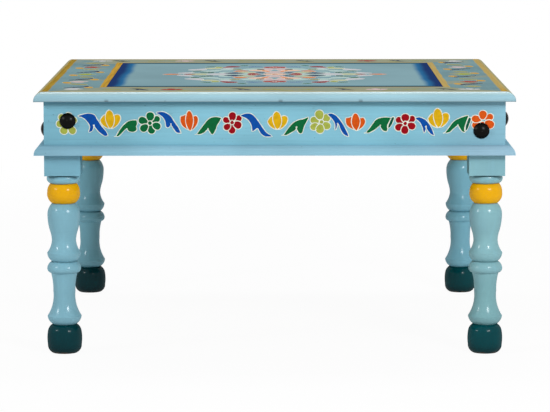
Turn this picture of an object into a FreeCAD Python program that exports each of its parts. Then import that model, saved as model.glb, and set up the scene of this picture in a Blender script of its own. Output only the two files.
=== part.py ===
import FreeCAD, Part
import math
import os

# Low square table on four turned legs, painted wood. All sizes are in millimetres.
# The origin is on the floor under the middle of the top, +Z is up and the front faces -Y.

# Overall sizes
table_width = 600.0
table_depth = 600.0
table_height = 332.0

# Top: four mitred border boards round a panel that lies on their lip
top_thickness = 12.0
border_width = 86.0
edge_radius = 11.0
lip_width = 10.0
lip_thickness = 6.0
panel_gap = 0.3

# Apron boards, and the quarter-round strip along their foot
apron_height = 67.0
apron_thickness = 15.0
moulding_height = 12.0
moulding_reach = 12.0

# Legs: a turned leg under a square block, with a narrower post inside the apron's corner
block_size = 45.0
block_drop = 27.0
turning_radius = 22.3

# Dome-headed bolts that hold each leg's post to the two aprons beside it
bolt_radius = 4.0
bolt_head_radius = 10.0
bolt_head_height = 6.0
bolt_rim_height = 1.2
bolt_neck_width = 8.0
bolt_neck_depth = 4.0
bolt_end_length = 3.0
bolt_clearance = 0.2
high_bolt_drop = 24.5
low_bolt_drop = 37.0
washer_radius = 8.0
washer_thickness = 1.6
nut_width = 13.0
nut_thickness = 6.5
thread_gap = 0.1

# Cleats inside the aprons and battens under the panel
cleat_size = 18.0
cleat_end_space = 30.0
batten_width = 40.0
batten_height = 16.0
batten_end_gap = 0.5

# Countersunk wood screws
screw_radius = 2.0
screw_length = 25.0
screw_head_radius = 4.0
screw_head_height = 2.2
screw_tip_length = 4.0
screw_slot_width = 0.9
screw_slot_depth = 1.3
screw_clearance = 0.1

# Headless pins that hold the base moulding
pin_radius = 0.8
pin_length = 20.0
pin_sink = 2.0
pin_height = 4.5

# How far a cutting shape runs past the face that it cuts
overrun = 5.0

# Places along a piece, as shares of its half length
cleat_screw_shares = (-0.8, 0.0, 0.8)
cleat_side_screw_shares = (-0.55, 0.25, 0.65)
batten_screw_shares = (-0.92, -0.4, 0.4, 0.92)
pin_shares = (-0.86, 0.0, 0.86)
batten_place_share = 0.5
screw_slot_share = 0.62

# Turned profile from the floor up. Each pair is a radius and a height, as shares of the
# turning radius and of the turned height. The second pair of a stretch is its end, and the
# first is a point that its arc passes.
foot_face_share = 0.690
turning_shares = (
    ((0.866, 0.0146), (0.960, 0.046)),
    ((0.986, 0.088), (0.956, 0.119)),
    ((0.864, 0.144), (0.670, 0.162)),
    ((0.856, 0.179), (0.962, 0.207)),
    ((0.742, 0.250), (0.626, 0.347)),
    ((0.650, 0.402), (0.745, 0.450)),
    ((0.905, 0.460), (0.956, 0.475)),
    ((0.900, 0.495), (0.690, 0.515)),
    ((0.860, 0.533), (0.950, 0.563)),
    ((0.766, 0.595), (0.682, 0.631)),
    ((0.710, 0.659), (0.790, 0.688)),
    ((0.878, 0.726), (0.918, 0.772)),
    ((0.864, 0.808), (0.650, 0.841)),
    ((0.842, 0.861), (0.920, 0.903)),
    ((0.864, 0.932), (0.725, 0.952)),
    ((0.886, 0.963), (0.942, 0.977)),
    ((0.918, 0.991), (0.870, 1.000)),
)

# Levels, from the top down
top_underside = table_height - top_thickness
apron_bottom = top_underside - apron_height
turned_height = apron_bottom - block_drop
lip_level = top_underside + lip_thickness
high_bolt_level = top_underside - high_bolt_drop
low_bolt_level = top_underside - low_bolt_drop
cleat_bottom = top_underside - cleat_size
batten_bottom = top_underside - batten_height

# The post is what is left of the block once both outer faces are rebated for the aprons
post_size = block_size - apron_thickness
rounding = min(edge_radius, top_thickness, moulding_height, moulding_reach)

# Sides in the order of quarter turns: name, turn in degrees, length along the side and
# distance from the table's middle to the side's outer edge
sides = (
    ("front", 0, table_width, table_depth / 2),
    ("right", 90, table_depth, table_width / 2),
    ("back", 180, table_width, table_depth / 2),
    ("left", 270, table_depth, table_width / 2),
)
corners = (
    ("front_left", 0, -1, -1),
    ("front_right", 90, 1, -1),
    ("back_right", 180, 1, 1),
    ("back_left", 270, -1, 1),
)

origin = FreeCAD.Vector(0, 0, 0)
x_axis = FreeCAD.Vector(1, 0, 0)
z_axis = FreeCAD.Vector(0, 0, 1)


def outline(points, place):
    """Closed wire through steps of one point (a line) or two (an arc and its end)."""
    edges = []
    here = place(*points[0][0])
    first = here
    for step in points[1:] + [points[0]]:
        end = place(*step[-1]) if step is not points[0] else first
        if here.distanceToPoint(end) < 1e-7:
            continue
        if len(step) == 2:
            edges.append(Part.Arc(here, place(*step[0]), end).toShape())
        else:
            edges.append(Part.LineSegment(here, end).toShape())
        here = end
    return Part.Wire(edges)


def quarter_round(outer, level, radius):
    """Arc step of a rounded edge that starts at the outer face and ends on a level top."""
    bulge = radius * math.sin(math.radians(45))
    middle = (outer - radius + bulge, level - radius + bulge)
    return (middle, (outer - radius, level))


def box(low, high):
    """Box between two corners."""
    size = high.sub(low)
    return Part.makeBox(size.x, size.y, size.z, low)


def block(low_x, high_x, low_out, high_out, low_z, high_z):
    """Box on the front side, its depth given as distances from the table's middle."""
    low = FreeCAD.Vector(low_x, -high_out, low_z)
    return box(low, FreeCAD.Vector(high_x, -low_out, high_z))


def turned(shape, degrees):
    """Copy of a shape turned about the table's upright axis."""
    copy = shape.copy()
    copy.rotate(origin, z_axis, degrees)
    return copy


def facing(shape, tilt, x, out, z):
    """Copy of a shape tilted about X, then put at a place on the front side."""
    copy = shape.copy()
    copy.rotate(origin, x_axis, tilt)
    copy.translate(FreeCAD.Vector(x, -out, z))
    return copy


def cut_all(shape, tools):
    """Shape with every cutting shape taken away."""
    return shape.cut(Part.makeCompound(tools)) if tools else shape


def mitred_bar(section, run, reach):
    """Bar along the front side with the given section and both ends cut at 45 degrees."""
    half = run / 2 + overrun
    bar = Part.Face(section)
    bar.translate(FreeCAD.Vector(-half, 0, 0))
    bar = bar.extrude(FreeCAD.Vector(2 * half, 0, 0))
    inset = min(run / 2, reach)
    plan = (
        (-half, reach + overrun),
        (half, reach + overrun),
        (run / 2 - inset, reach - inset),
        (inset - run / 2, reach - inset),
    )
    corners_low = [FreeCAD.Vector(x, -out, -overrun) for x, out in plan]
    trapezoid = []
    for corner in corners_low:
        if not trapezoid or corner.distanceToPoint(trapezoid[-1]) > 1e-7:
            trapezoid.append(corner)
    face = Part.Face(Part.makePolygon(trapezoid + [trapezoid[0]]))
    return bar.common(face.extrude(FreeCAD.Vector(0, 0, table_height + 2 * overrun)))


def side_section(out, z):
    """Point of a side's cross-section, from its distance out and its height."""
    return FreeCAD.Vector(0, -out, z)


def border_section(reach):
    """Section of a top border board: rounded outer edge, lip along the inner edge."""
    inner = reach - border_width
    points = [
        ((inner - lip_width, top_underside),),
        ((reach, top_underside),),
        ((reach, table_height - rounding),),
        quarter_round(reach, table_height, rounding),
        ((inner, table_height),),
        ((inner, lip_level),),
        ((inner - lip_width, lip_level),),
    ]
    return outline(points, side_section)


def moulding_section(reach):
    """Section of the quarter-round strip at the foot of an apron."""
    inner = reach - moulding_reach
    top = apron_bottom + moulding_height
    points = [
        ((inner, apron_bottom),),
        ((reach, apron_bottom),),
        ((reach, top - rounding),),
        quarter_round(reach, top, rounding),
        ((inner, top),),
    ]
    return outline(points, side_section)


def apron_section(reach):
    """Section of an apron board."""
    outer = reach - moulding_reach
    inner = outer - apron_thickness
    points = [
        ((inner, apron_bottom),),
        ((outer, apron_bottom),),
        ((outer, top_underside),),
        ((inner, top_underside),),
    ]
    return outline(points, side_section)


def bolt_places(run):
    """Where the two bolts of a side lie: the high one at the left, the low one at the right."""
    along = run / 2 - moulding_reach - apron_thickness - post_size / 2
    return ((-along, high_bolt_level), (along, low_bolt_level))


def bolt():
    """Bolt with a dome head above z = 0, and a square neck and a round shank below it."""
    points = [
        ((0, 0),),
        ((bolt_head_radius, 0),),
        ((bolt_head_radius, bolt_rim_height),),
    ]
    rise = bolt_head_height - bolt_rim_height
    sphere = (bolt_head_radius ** 2 + rise ** 2) / (2 * rise)
    half_angle = math.asin(bolt_head_radius / sphere) / 2
    middle = (sphere * math.sin(half_angle), bolt_head_height - sphere * (1 - math.cos(half_angle)))
    points.append((middle, (0, bolt_head_height)))
    head = Part.Face(outline(points, lambda r, z: FreeCAD.Vector(r, 0, z)))
    head = head.revolve(origin, z_axis, 360)
    half_neck = bolt_neck_width / 2
    neck = box(
        FreeCAD.Vector(-half_neck, -half_neck, -bolt_neck_depth),
        FreeCAD.Vector(half_neck, half_neck, 0),
    )
    grip = apron_thickness + post_size + washer_thickness + nut_thickness
    shank = Part.makeCylinder(bolt_radius, grip + bolt_end_length, origin, -z_axis)
    return head.fuse([neck, shank]).removeSplitter()


def bolt_hole():
    """Cutting shape for a bolt's neck and shank, through apron and post."""
    half_neck = bolt_neck_width / 2 + bolt_clearance
    neck = box(
        FreeCAD.Vector(-half_neck, -half_neck, -bolt_neck_depth - bolt_clearance),
        FreeCAD.Vector(half_neck, half_neck, overrun),
    )
    depth = apron_thickness + post_size + overrun
    shank = Part.makeCylinder(bolt_radius + bolt_clearance, depth, origin, -z_axis)
    return neck.fuse(shank)


def washer():
    """Flat washer below z = 0."""
    disc = Part.makeCylinder(washer_radius, washer_thickness, origin, -z_axis)
    return disc.cut(Part.makeCylinder(bolt_radius + bolt_clearance, washer_thickness, origin, -z_axis))


def nut():
    """Hexagon nut below the washer."""
    corner_radius = nut_width / 2 / math.cos(math.radians(30))
    points = []
    for turn in range(0, 360, 60):
        angle = math.radians(turn)
        x = corner_radius * math.cos(angle)
        y = corner_radius * math.sin(angle)
        points.append(FreeCAD.Vector(x, y, -washer_thickness - nut_thickness))
    prism = Part.Face(Part.makePolygon(points + [points[0]]))
    prism = prism.extrude(FreeCAD.Vector(0, 0, nut_thickness))
    cone_height = nut_thickness + corner_radius
    cone = Part.makeCone(
        corner_radius + nut_thickness, 0, cone_height,
        FreeCAD.Vector(0, 0, -washer_thickness), -z_axis,
    )
    bore = Part.makeCylinder(bolt_radius + thread_gap, nut_thickness + washer_thickness, origin, -z_axis)
    return prism.common(cone).cut(bore)


def screw_body(gap):
    """Countersunk screw below z = 0, grown by a gap where it is used as a cutting shape."""
    body_radius = screw_radius + gap
    points = [
        ((0, 0),),
        ((screw_head_radius + gap, 0),),
        ((body_radius, -screw_head_height - gap),),
        ((body_radius, screw_tip_length - screw_length),),
        ((0, -screw_length - gap),),
    ]
    face = Part.Face(outline(points, lambda r, z: FreeCAD.Vector(r, 0, z)))
    return face.revolve(origin, z_axis, 360)


def screw():
    """Countersunk wood screw with a crossed slot in its head."""
    half = screw_head_radius * screw_slot_share
    half_slot = screw_slot_width / 2
    slots = []
    for half_x, half_y in ((half, half_slot), (half_slot, half)):
        low = FreeCAD.Vector(-half_x, -half_y, -screw_slot_depth)
        slots.append(box(low, FreeCAD.Vector(half_x, half_y, overrun)))
    return screw_body(0).cut(slots[0].fuse(slots[1]))


def pin():
    """Headless pin below z = 0."""
    return Part.makeCylinder(pin_radius, pin_length, origin, -z_axis)


def cleat_half_length(run):
    """Half the length of a side's cleat, which stops short of both leg posts."""
    return run / 2 - moulding_reach - apron_thickness - post_size - cleat_end_space


def cleat_top_screws(shape, run, reach):
    """Copies of a screw shape that goes up through a side's cleat into the top."""
    out = reach - moulding_reach - apron_thickness - cleat_size / 2
    half = cleat_half_length(run)
    return [facing(shape, 180, half * share, out, cleat_bottom) for share in cleat_screw_shares]


def cleat_side_screws(shape, run, reach):
    """Copies of a screw shape that goes outwards through a side's cleat into the apron."""
    out = reach - moulding_reach - apron_thickness - cleat_size
    level = cleat_bottom + cleat_size / 2
    half = cleat_half_length(run)
    return [facing(shape, -90, half * share, out, level) for share in cleat_side_screw_shares]


def side_pins(shape, run, reach):
    """Copies of a pin shape that goes through a side's moulding into the apron."""
    half = run / 2 - moulding_reach
    out = reach - pin_sink
    level = apron_bottom + pin_height
    return [facing(shape, 90, half * share, out, level) for share in pin_shares]


def side_bolt_parts(shape, run, reach, depth):
    """Copies of a bolt, washer or nut at both bolt places, sunk by a depth from the apron's face."""
    out = reach - moulding_reach - depth
    return [facing(shape, 90, x, out, level) for x, level in bolt_places(run)]


def batten_half_length():
    """Half the length of a batten, which runs between the front and back cleats."""
    return table_depth / 2 - moulding_reach - apron_thickness - cleat_size - batten_end_gap


def batten_places():
    """Where the two battens lie, left then right."""
    along = (table_width / 2 - border_width) * batten_place_share
    return (("left", -along), ("right", along))


def batten_screws(shape):
    """Copies of a screw shape that goes up through both battens into the top."""
    half = batten_half_length()
    places = []
    for _, x in batten_places():
        for share in batten_screw_shares:
            places.append(facing(shape, 180, x, half * share, batten_bottom))
    return places


def top_panel():
    """Panel whose thin edge lies on the lip of the border boards."""
    half_x = table_width / 2 - border_width - panel_gap
    half_y = table_depth / 2 - border_width - panel_gap
    upper = block(-half_x, half_x, -half_y, half_y, lip_level, table_height)
    half_x -= lip_width
    half_y -= lip_width
    lower = block(-half_x, half_x, -half_y, half_y, top_underside, lip_level)
    return upper.fuse(lower).removeSplitter()


def cleat(run, reach):
    """Square cleat along the inside of an apron, under the top."""
    out = reach - moulding_reach - apron_thickness
    half = cleat_half_length(run)
    return block(-half, half, out - cleat_size, out, cleat_bottom, top_underside)


def leg():
    """Leg about its own upright axis, placed as at the front left corner."""
    points = [((0, 0),), ((turning_radius * foot_face_share, 0),)]
    for stretch in turning_shares:
        points.append(tuple((turning_radius * r, turned_height * z) for r, z in stretch))
    points.append(((0, turned_height),))
    face = Part.Face(outline(points, lambda r, z: FreeCAD.Vector(r, 0, z)))
    turning = face.revolve(origin, z_axis, 360)
    half = block_size / 2
    body = box(
        FreeCAD.Vector(-half, -half, turned_height),
        FreeCAD.Vector(half, half, apron_bottom),
    )
    post = box(
        FreeCAD.Vector(apron_thickness - half, apron_thickness - half, apron_bottom),
        FreeCAD.Vector(half, half, top_underside),
    )
    return turning.fuse([body, post]).removeSplitter()


def leg_holes():
    """Cutting shapes for a leg's two bolts: the high one from the front, the low one from the left."""
    shift = apron_thickness / 2
    outer = block_size / 2
    hole = bolt_hole()
    high = facing(hole, 90, shift, outer, high_bolt_level)
    low = turned(facing(hole, 90, -shift, outer, low_bolt_level), 270)
    return [high, low]


def make_top(solids):
    """Adds the border boards, the panel and the battens."""
    cutters = batten_screws(screw_body(screw_clearance))
    for name, turn, run, reach in sides:
        bar = mitred_bar(border_section(reach), run, reach)
        bar = cut_all(bar, cleat_top_screws(screw_body(screw_clearance), run, reach))
        solids["top_border_" + name] = cut_all(turned(bar, turn), cutters)
    solids["top_panel"] = cut_all(top_panel(), cutters)
    half_length = batten_half_length()
    half_width = batten_width / 2
    for name, x in batten_places():
        bar = block(
            x - half_width, x + half_width, -half_length, half_length,
            batten_bottom, top_underside,
        )
        solids["panel_batten_" + name] = cut_all(bar, cutters)
    solids["batten_screws"] = Part.makeCompound(batten_screws(screw()))


def make_sides(solids):
    """Adds the aprons, their base mouldings and cleats, and the pins and screws in them."""
    cutter = screw_body(screw_clearance)
    pins = []
    screws = []
    for name, turn, run, reach in sides:
        pin_cuts = side_pins(pin(), run, reach)
        holes = side_bolt_parts(bolt_hole(), run, reach, 0)
        side_cuts = cleat_side_screws(cutter, run, reach)
        apron = mitred_bar(apron_section(reach), run, reach)
        apron = cut_all(apron, pin_cuts + holes + side_cuts)
        moulding = cut_all(mitred_bar(moulding_section(reach), run, reach), pin_cuts)
        rail = cut_all(cleat(run, reach), cleat_top_screws(cutter, run, reach) + side_cuts)
        solids["apron_" + name] = turned(apron, turn)
        solids["base_moulding_" + name] = turned(moulding, turn)
        solids["apron_cleat_" + name] = turned(rail, turn)
        pins += [turned(item, turn) for item in pin_cuts]
        side_screws = cleat_top_screws(screw(), run, reach) + cleat_side_screws(screw(), run, reach)
        screws += [turned(item, turn) for item in side_screws]
    solids["moulding_pins"] = Part.makeCompound(pins)
    solids["cleat_screws"] = Part.makeCompound(screws)


def make_legs(solids):
    """Adds the four legs, each turned to its own corner."""
    body = cut_all(leg(), leg_holes())
    from_edge = moulding_reach + block_size / 2
    for name, turn, sign_x, sign_y in corners:
        placed = turned(body, turn)
        x = sign_x * (table_width / 2 - from_edge)
        y = sign_y * (table_depth / 2 - from_edge)
        placed.translate(FreeCAD.Vector(x, y, 0))
        solids["leg_" + name] = placed


def make_bolts(solids):
    """Adds the bolts with their washers and nuts, one node for each kind."""
    depth = apron_thickness + post_size
    kinds = (
        ("leg_bolts", bolt(), 0),
        ("leg_bolt_washers", washer(), depth),
        ("leg_bolt_nuts", nut(), depth),
    )
    for node, shape, sunk in kinds:
        group = []
        for _, turn, run, reach in sides:
            group += [turned(item, turn) for item in side_bolt_parts(shape, run, reach, sunk)]
        solids[node] = Part.makeCompound(group)


def main():
    """Builds every piece and writes one file for each node."""
    solids = {}
    make_top(solids)
    make_sides(solids)
    make_legs(solids)
    make_bolts(solids)
    os.makedirs("parts", exist_ok=True)
    for node, shape in solids.items():
        shape.exportStep("parts/" + node + ".step")
        print(node, len(shape.Solids), "solids", round(shape.Volume), "mm3", shape.isValid())


main()
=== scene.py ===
"""Looks of a painted low table with a bordered top, an apron and four turned legs.

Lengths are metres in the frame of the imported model: +Z is up, the front faces -Y and the
origin is on the floor under the middle of the top. Names that end in _mm hold millimetres.
"""
import logging
import math
import random
from dataclasses import dataclass, field
from enum import Enum
from typing import Any, Iterable, Optional, Sequence, Union

import bmesh
import bpy
from mathutils import Matrix, Vector


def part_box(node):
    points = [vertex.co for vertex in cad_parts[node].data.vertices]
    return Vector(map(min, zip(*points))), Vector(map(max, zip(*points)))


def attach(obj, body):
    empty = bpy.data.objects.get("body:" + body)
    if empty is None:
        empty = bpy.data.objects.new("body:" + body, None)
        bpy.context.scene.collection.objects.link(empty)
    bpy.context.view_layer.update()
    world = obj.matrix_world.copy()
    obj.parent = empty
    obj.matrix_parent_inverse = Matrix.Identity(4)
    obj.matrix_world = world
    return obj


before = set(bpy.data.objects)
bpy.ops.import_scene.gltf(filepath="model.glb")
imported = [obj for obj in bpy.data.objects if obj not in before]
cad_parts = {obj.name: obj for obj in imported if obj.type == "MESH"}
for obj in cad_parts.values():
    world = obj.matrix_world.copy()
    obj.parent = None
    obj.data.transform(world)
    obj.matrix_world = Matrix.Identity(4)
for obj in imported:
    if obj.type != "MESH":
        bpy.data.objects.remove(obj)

LOG = logging.getLogger("low_table")
MM = 0.001

Colour = tuple[float, float, float, float]
Triple = tuple[float, float, float]
Point = tuple[float, float]
Span = tuple[float, float]
Loop = list[Point]

WHITE: Colour = (1.0, 1.0, 1.0, 1.0)
NOISE_MIDDLE = 0.5
SHEEN_FACING: Span = (0.90, 0.55)
BRUSHED_DEPTH_MM = 0.12
COAT_EVEN = 0.8
COAT_BY_NOISE = 0.4
APRON_ORNAMENT_COAT = 0.14
TOP_ORNAMENT_COAT = 0.35

# Spans in millimetres over which a mask grows from 0 to 1 towards one side of the table.
FRONT_HALF: Span = (100.0, -100.0)
BACK_HALF: Span = (-100.0, 100.0)
LEFT_HALF: Span = (100.0, -100.0)
RIGHT_HALF: Span = (-100.0, 100.0)

# Layers and shapes of the ornament's motifs; a higher layer lies over a lower one.
BUD_LAYERS = (1, 2, 4)
LEAF_LAYER = 3
HEART_LAYER = 4
HEART_POINTS = 10
PETAL_STEPS = 4
PETAL_NARROWED = 0.20
RING_REACH = 0.63
RING_PETAL = 0.66


def linear(red: float, green: float, blue: float) -> Colour:
    """Linear colour of a paint that was matched in screen values, by the usual screen curve.

    Args:
        red: Red from 0 to 255.
        green: Green from 0 to 255.
        blue: Blue from 0 to 255.

    Returns:
        The linear colour with an alpha of 1.
    """
    shares = [value / 255 for value in (red, green, blue)]
    channels = [s / 12.92 if s <= 0.04045 else ((s + 0.055) / 1.055) ** 2.4 for s in shares]
    return (channels[0], channels[1], channels[2], 1.0)


def shaded(colour: Colour, share: float) -> Colour:
    """A darker or lighter copy of a colour, multiplied by a share."""
    return (colour[0] * share, colour[1] * share, colour[2] * share, 1.0)


class Axis(Enum):
    """Direction in which a board's grain and brush strokes run."""

    X = 0
    Y = 1
    Z = 2

    def stretched(self, across: float, along: float) -> Triple:
        """Noise scales of one value across this axis and another along it."""
        x, y, z = (along if axis is self else across for axis in Axis)
        return (x, y, z)


class Side(Enum):
    """Sides of the table in the order of quarter turns, seen from above."""

    FRONT = 0
    RIGHT = 1
    BACK = 2
    LEFT = 3

    @property
    def label(self) -> str:
        """The side's name as the nodes spell it."""
        return self.name.lower()

    @property
    def turn(self) -> Matrix:
        """Turn about the table's upright axis that brings the front to this side."""
        return Matrix.Rotation(self.value * math.pi / 2, 4, "Z")

    @property
    def grain(self) -> Axis:
        """Axis along which this side's boards run."""
        return Axis.X if self.value % 2 == 0 else Axis.Y


class Paint(Enum):
    """Paints of the ornament, as screen values."""

    CREAM = (220, 225, 212)
    BLUE = (8, 72, 152)
    NAVY = (30, 42, 84)
    GREEN = (6, 94, 50)
    DARK_GREEN = (8, 78, 58)
    CRIMSON = (142, 6, 20)
    RED = (166, 62, 60)
    BRICK = (158, 66, 62)
    ORANGE = (200, 79, 18)
    AMBER = (216, 128, 72)
    MUSTARD = (196, 152, 70)
    YELLOW = (206, 162, 18)
    LIME = (157, 166, 72)
    KHAKI = (150, 150, 102)
    PEACH = (222, 182, 158)
    PINK = (200, 178, 178)
    PALE = (190, 192, 196)
    STRAW = (182, 188, 156)
    MINT = (170, 196, 192)

    @property
    def colour(self) -> Colour:
        """The paint's linear colour."""
        return linear(*self.value)


class Wire:
    """A number that flows through a shader graph, ready to be used in sums."""

    def __init__(self, graph: "Graph", socket: bpy.types.NodeSocket) -> None:
        """Wraps an output socket of a graph."""
        self.graph = graph
        self.socket = socket

    def __add__(self, other: "Number") -> "Wire":
        """This number plus another."""
        return self.graph.maths("ADD", self, other)

    __radd__ = __add__

    def __sub__(self, other: "Number") -> "Wire":
        """This number less another."""
        return self.graph.maths("SUBTRACT", self, other)

    def __rsub__(self, other: "Number") -> "Wire":
        """Another number less this one."""
        return self.graph.maths("SUBTRACT", other, self)

    def __mul__(self, other: "Number") -> "Wire":
        """This number times another."""
        return self.graph.maths("MULTIPLY", self, other)

    __rmul__ = __mul__

    def __abs__(self) -> "Wire":
        """This number without its sign."""
        return self.graph.maths("ABSOLUTE", self)

    def most(self, other: "Number") -> "Wire":
        """The larger of this number and another."""
        return self.graph.maths("MAXIMUM", self, other)

    def least(self, other: "Number") -> "Wire":
        """The smaller of this number and another."""
        return self.graph.maths("MINIMUM", self, other)

    def rise(self, span: Span) -> "Wire":
        """A smooth mask that is 0 where a span starts and 1 where it ends, whichever is larger."""
        return self.graph.ramp(self, span)

    def over(self, span_mm: Span) -> "Wire":
        """The same mask for a length and a span in millimetres."""
        return self.rise((span_mm[0] * MM, span_mm[1] * MM))

    def inside(self, span_mm: Span, soft_mm: float) -> "Wire":
        """A mask that is 1 inside a span in millimetres, with soft edges."""
        low, high = span_mm
        return self.over((low - soft_mm, low + soft_mm)) * self.over((high + soft_mm, high - soft_mm))


Number = Union[Wire, float]
Feed = Union[Wire, bpy.types.NodeSocket, float, Colour, Triple]
Inputs = dict[Union[str, int], Feed]


class Graph:
    """Nodes of one tree, built up from an empty one."""

    def __init__(self, tree: bpy.types.NodeTree) -> None:
        """Empties the tree."""
        self.tree = tree
        self.tree.nodes.clear()

    def node(
        self, kind: str, settings: Optional[dict[str, Any]] = None, inputs: Optional[Inputs] = None
    ) -> bpy.types.Node:
        """Adds a node.

        Args:
            kind: The node's type name.
            settings: Properties that are set first.
            inputs: Values or links of its sockets, by name or number.

        Returns:
            The new node.
        """
        node = self.tree.nodes.new(kind)
        for key, value in (settings or {}).items():
            setattr(node, key, value)
        for key, value in (inputs or {}).items():
            self.feed(node.inputs[key], value)
        return node

    def feed(self, socket: bpy.types.NodeSocket, value: Feed) -> None:
        """Links a socket to a wire or another socket, or sets its constant.

        Args:
            socket: The input socket.
            value: What it gets.
        """
        if isinstance(value, Wire):
            self.tree.links.new(value.socket, socket)
        elif isinstance(value, bpy.types.NodeSocket):
            self.tree.links.new(value, socket)
        else:
            socket.default_value = value

    def maths(self, operation: str, *terms: Number) -> Wire:
        """A Math node on up to two numbers."""
        node = self.node("ShaderNodeMath", {"operation": operation}, dict(enumerate(terms)))
        return Wire(self, node.outputs[0])

    def ramp(self, value: Number, span: Span) -> Wire:
        """Smooth ramp on a number.

        Args:
            value: The number.
            span: Where the ramp is 0 and where it is 1.

        Returns:
            The ramp.
        """
        inputs = {"Value": value, "From Min": span[0], "From Max": span[1]}
        node = self.node("ShaderNodeMapRange", {"interpolation_type": "SMOOTHSTEP"}, inputs)
        return Wire(self, node.outputs["Result"])

    def seen(self) -> Wire:
        """Tells what is looked at from what only lights the table.

        Returns:
            1 for what is seen straight, mirrored or through glass, and 0 for other light.
        """
        paths = self.node("ShaderNodeLightPath").outputs
        mirrored = Wire(self, paths["Is Glossy Ray"]).most(Wire(self, paths["Is Transmission Ray"]))
        return Wire(self, paths["Is Camera Ray"]).most(mirrored)


@dataclass(frozen=True)
class Brush:
    """Waves for each metre in brushed paint: across and along its strokes, in its clouds and grit."""

    across: float
    along: float
    clouds: float
    grit_waves: float = 120.0
    grit: float = 0.3


@dataclass(frozen=True)
class Mottle:
    """Two shades of a colour, and the levels of a noise between which they change."""

    levels: Span
    first: float
    second: float


@dataclass(frozen=True)
class Shade:
    """A shade laid on a paint: the levels at which it shows, its share of the light, its strength."""

    levels: Span
    share: float
    strength: float


@dataclass(frozen=True)
class Gloss:
    """How a coat of paint shines, and how far its roughness strays with strokes and clouds."""

    roughness: float
    by_strokes: float
    by_clouds: float
    coat: float
    coat_roughness: float = 0.2

    def rough(self, strokes: Wire, clouds: Wire) -> Wire:
        """The paint's roughness."""
        uneven = self.by_strokes * (strokes - NOISE_MIDDLE) + self.by_clouds * (clouds - NOISE_MIDDLE)
        return self.roughness + uneven


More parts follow.
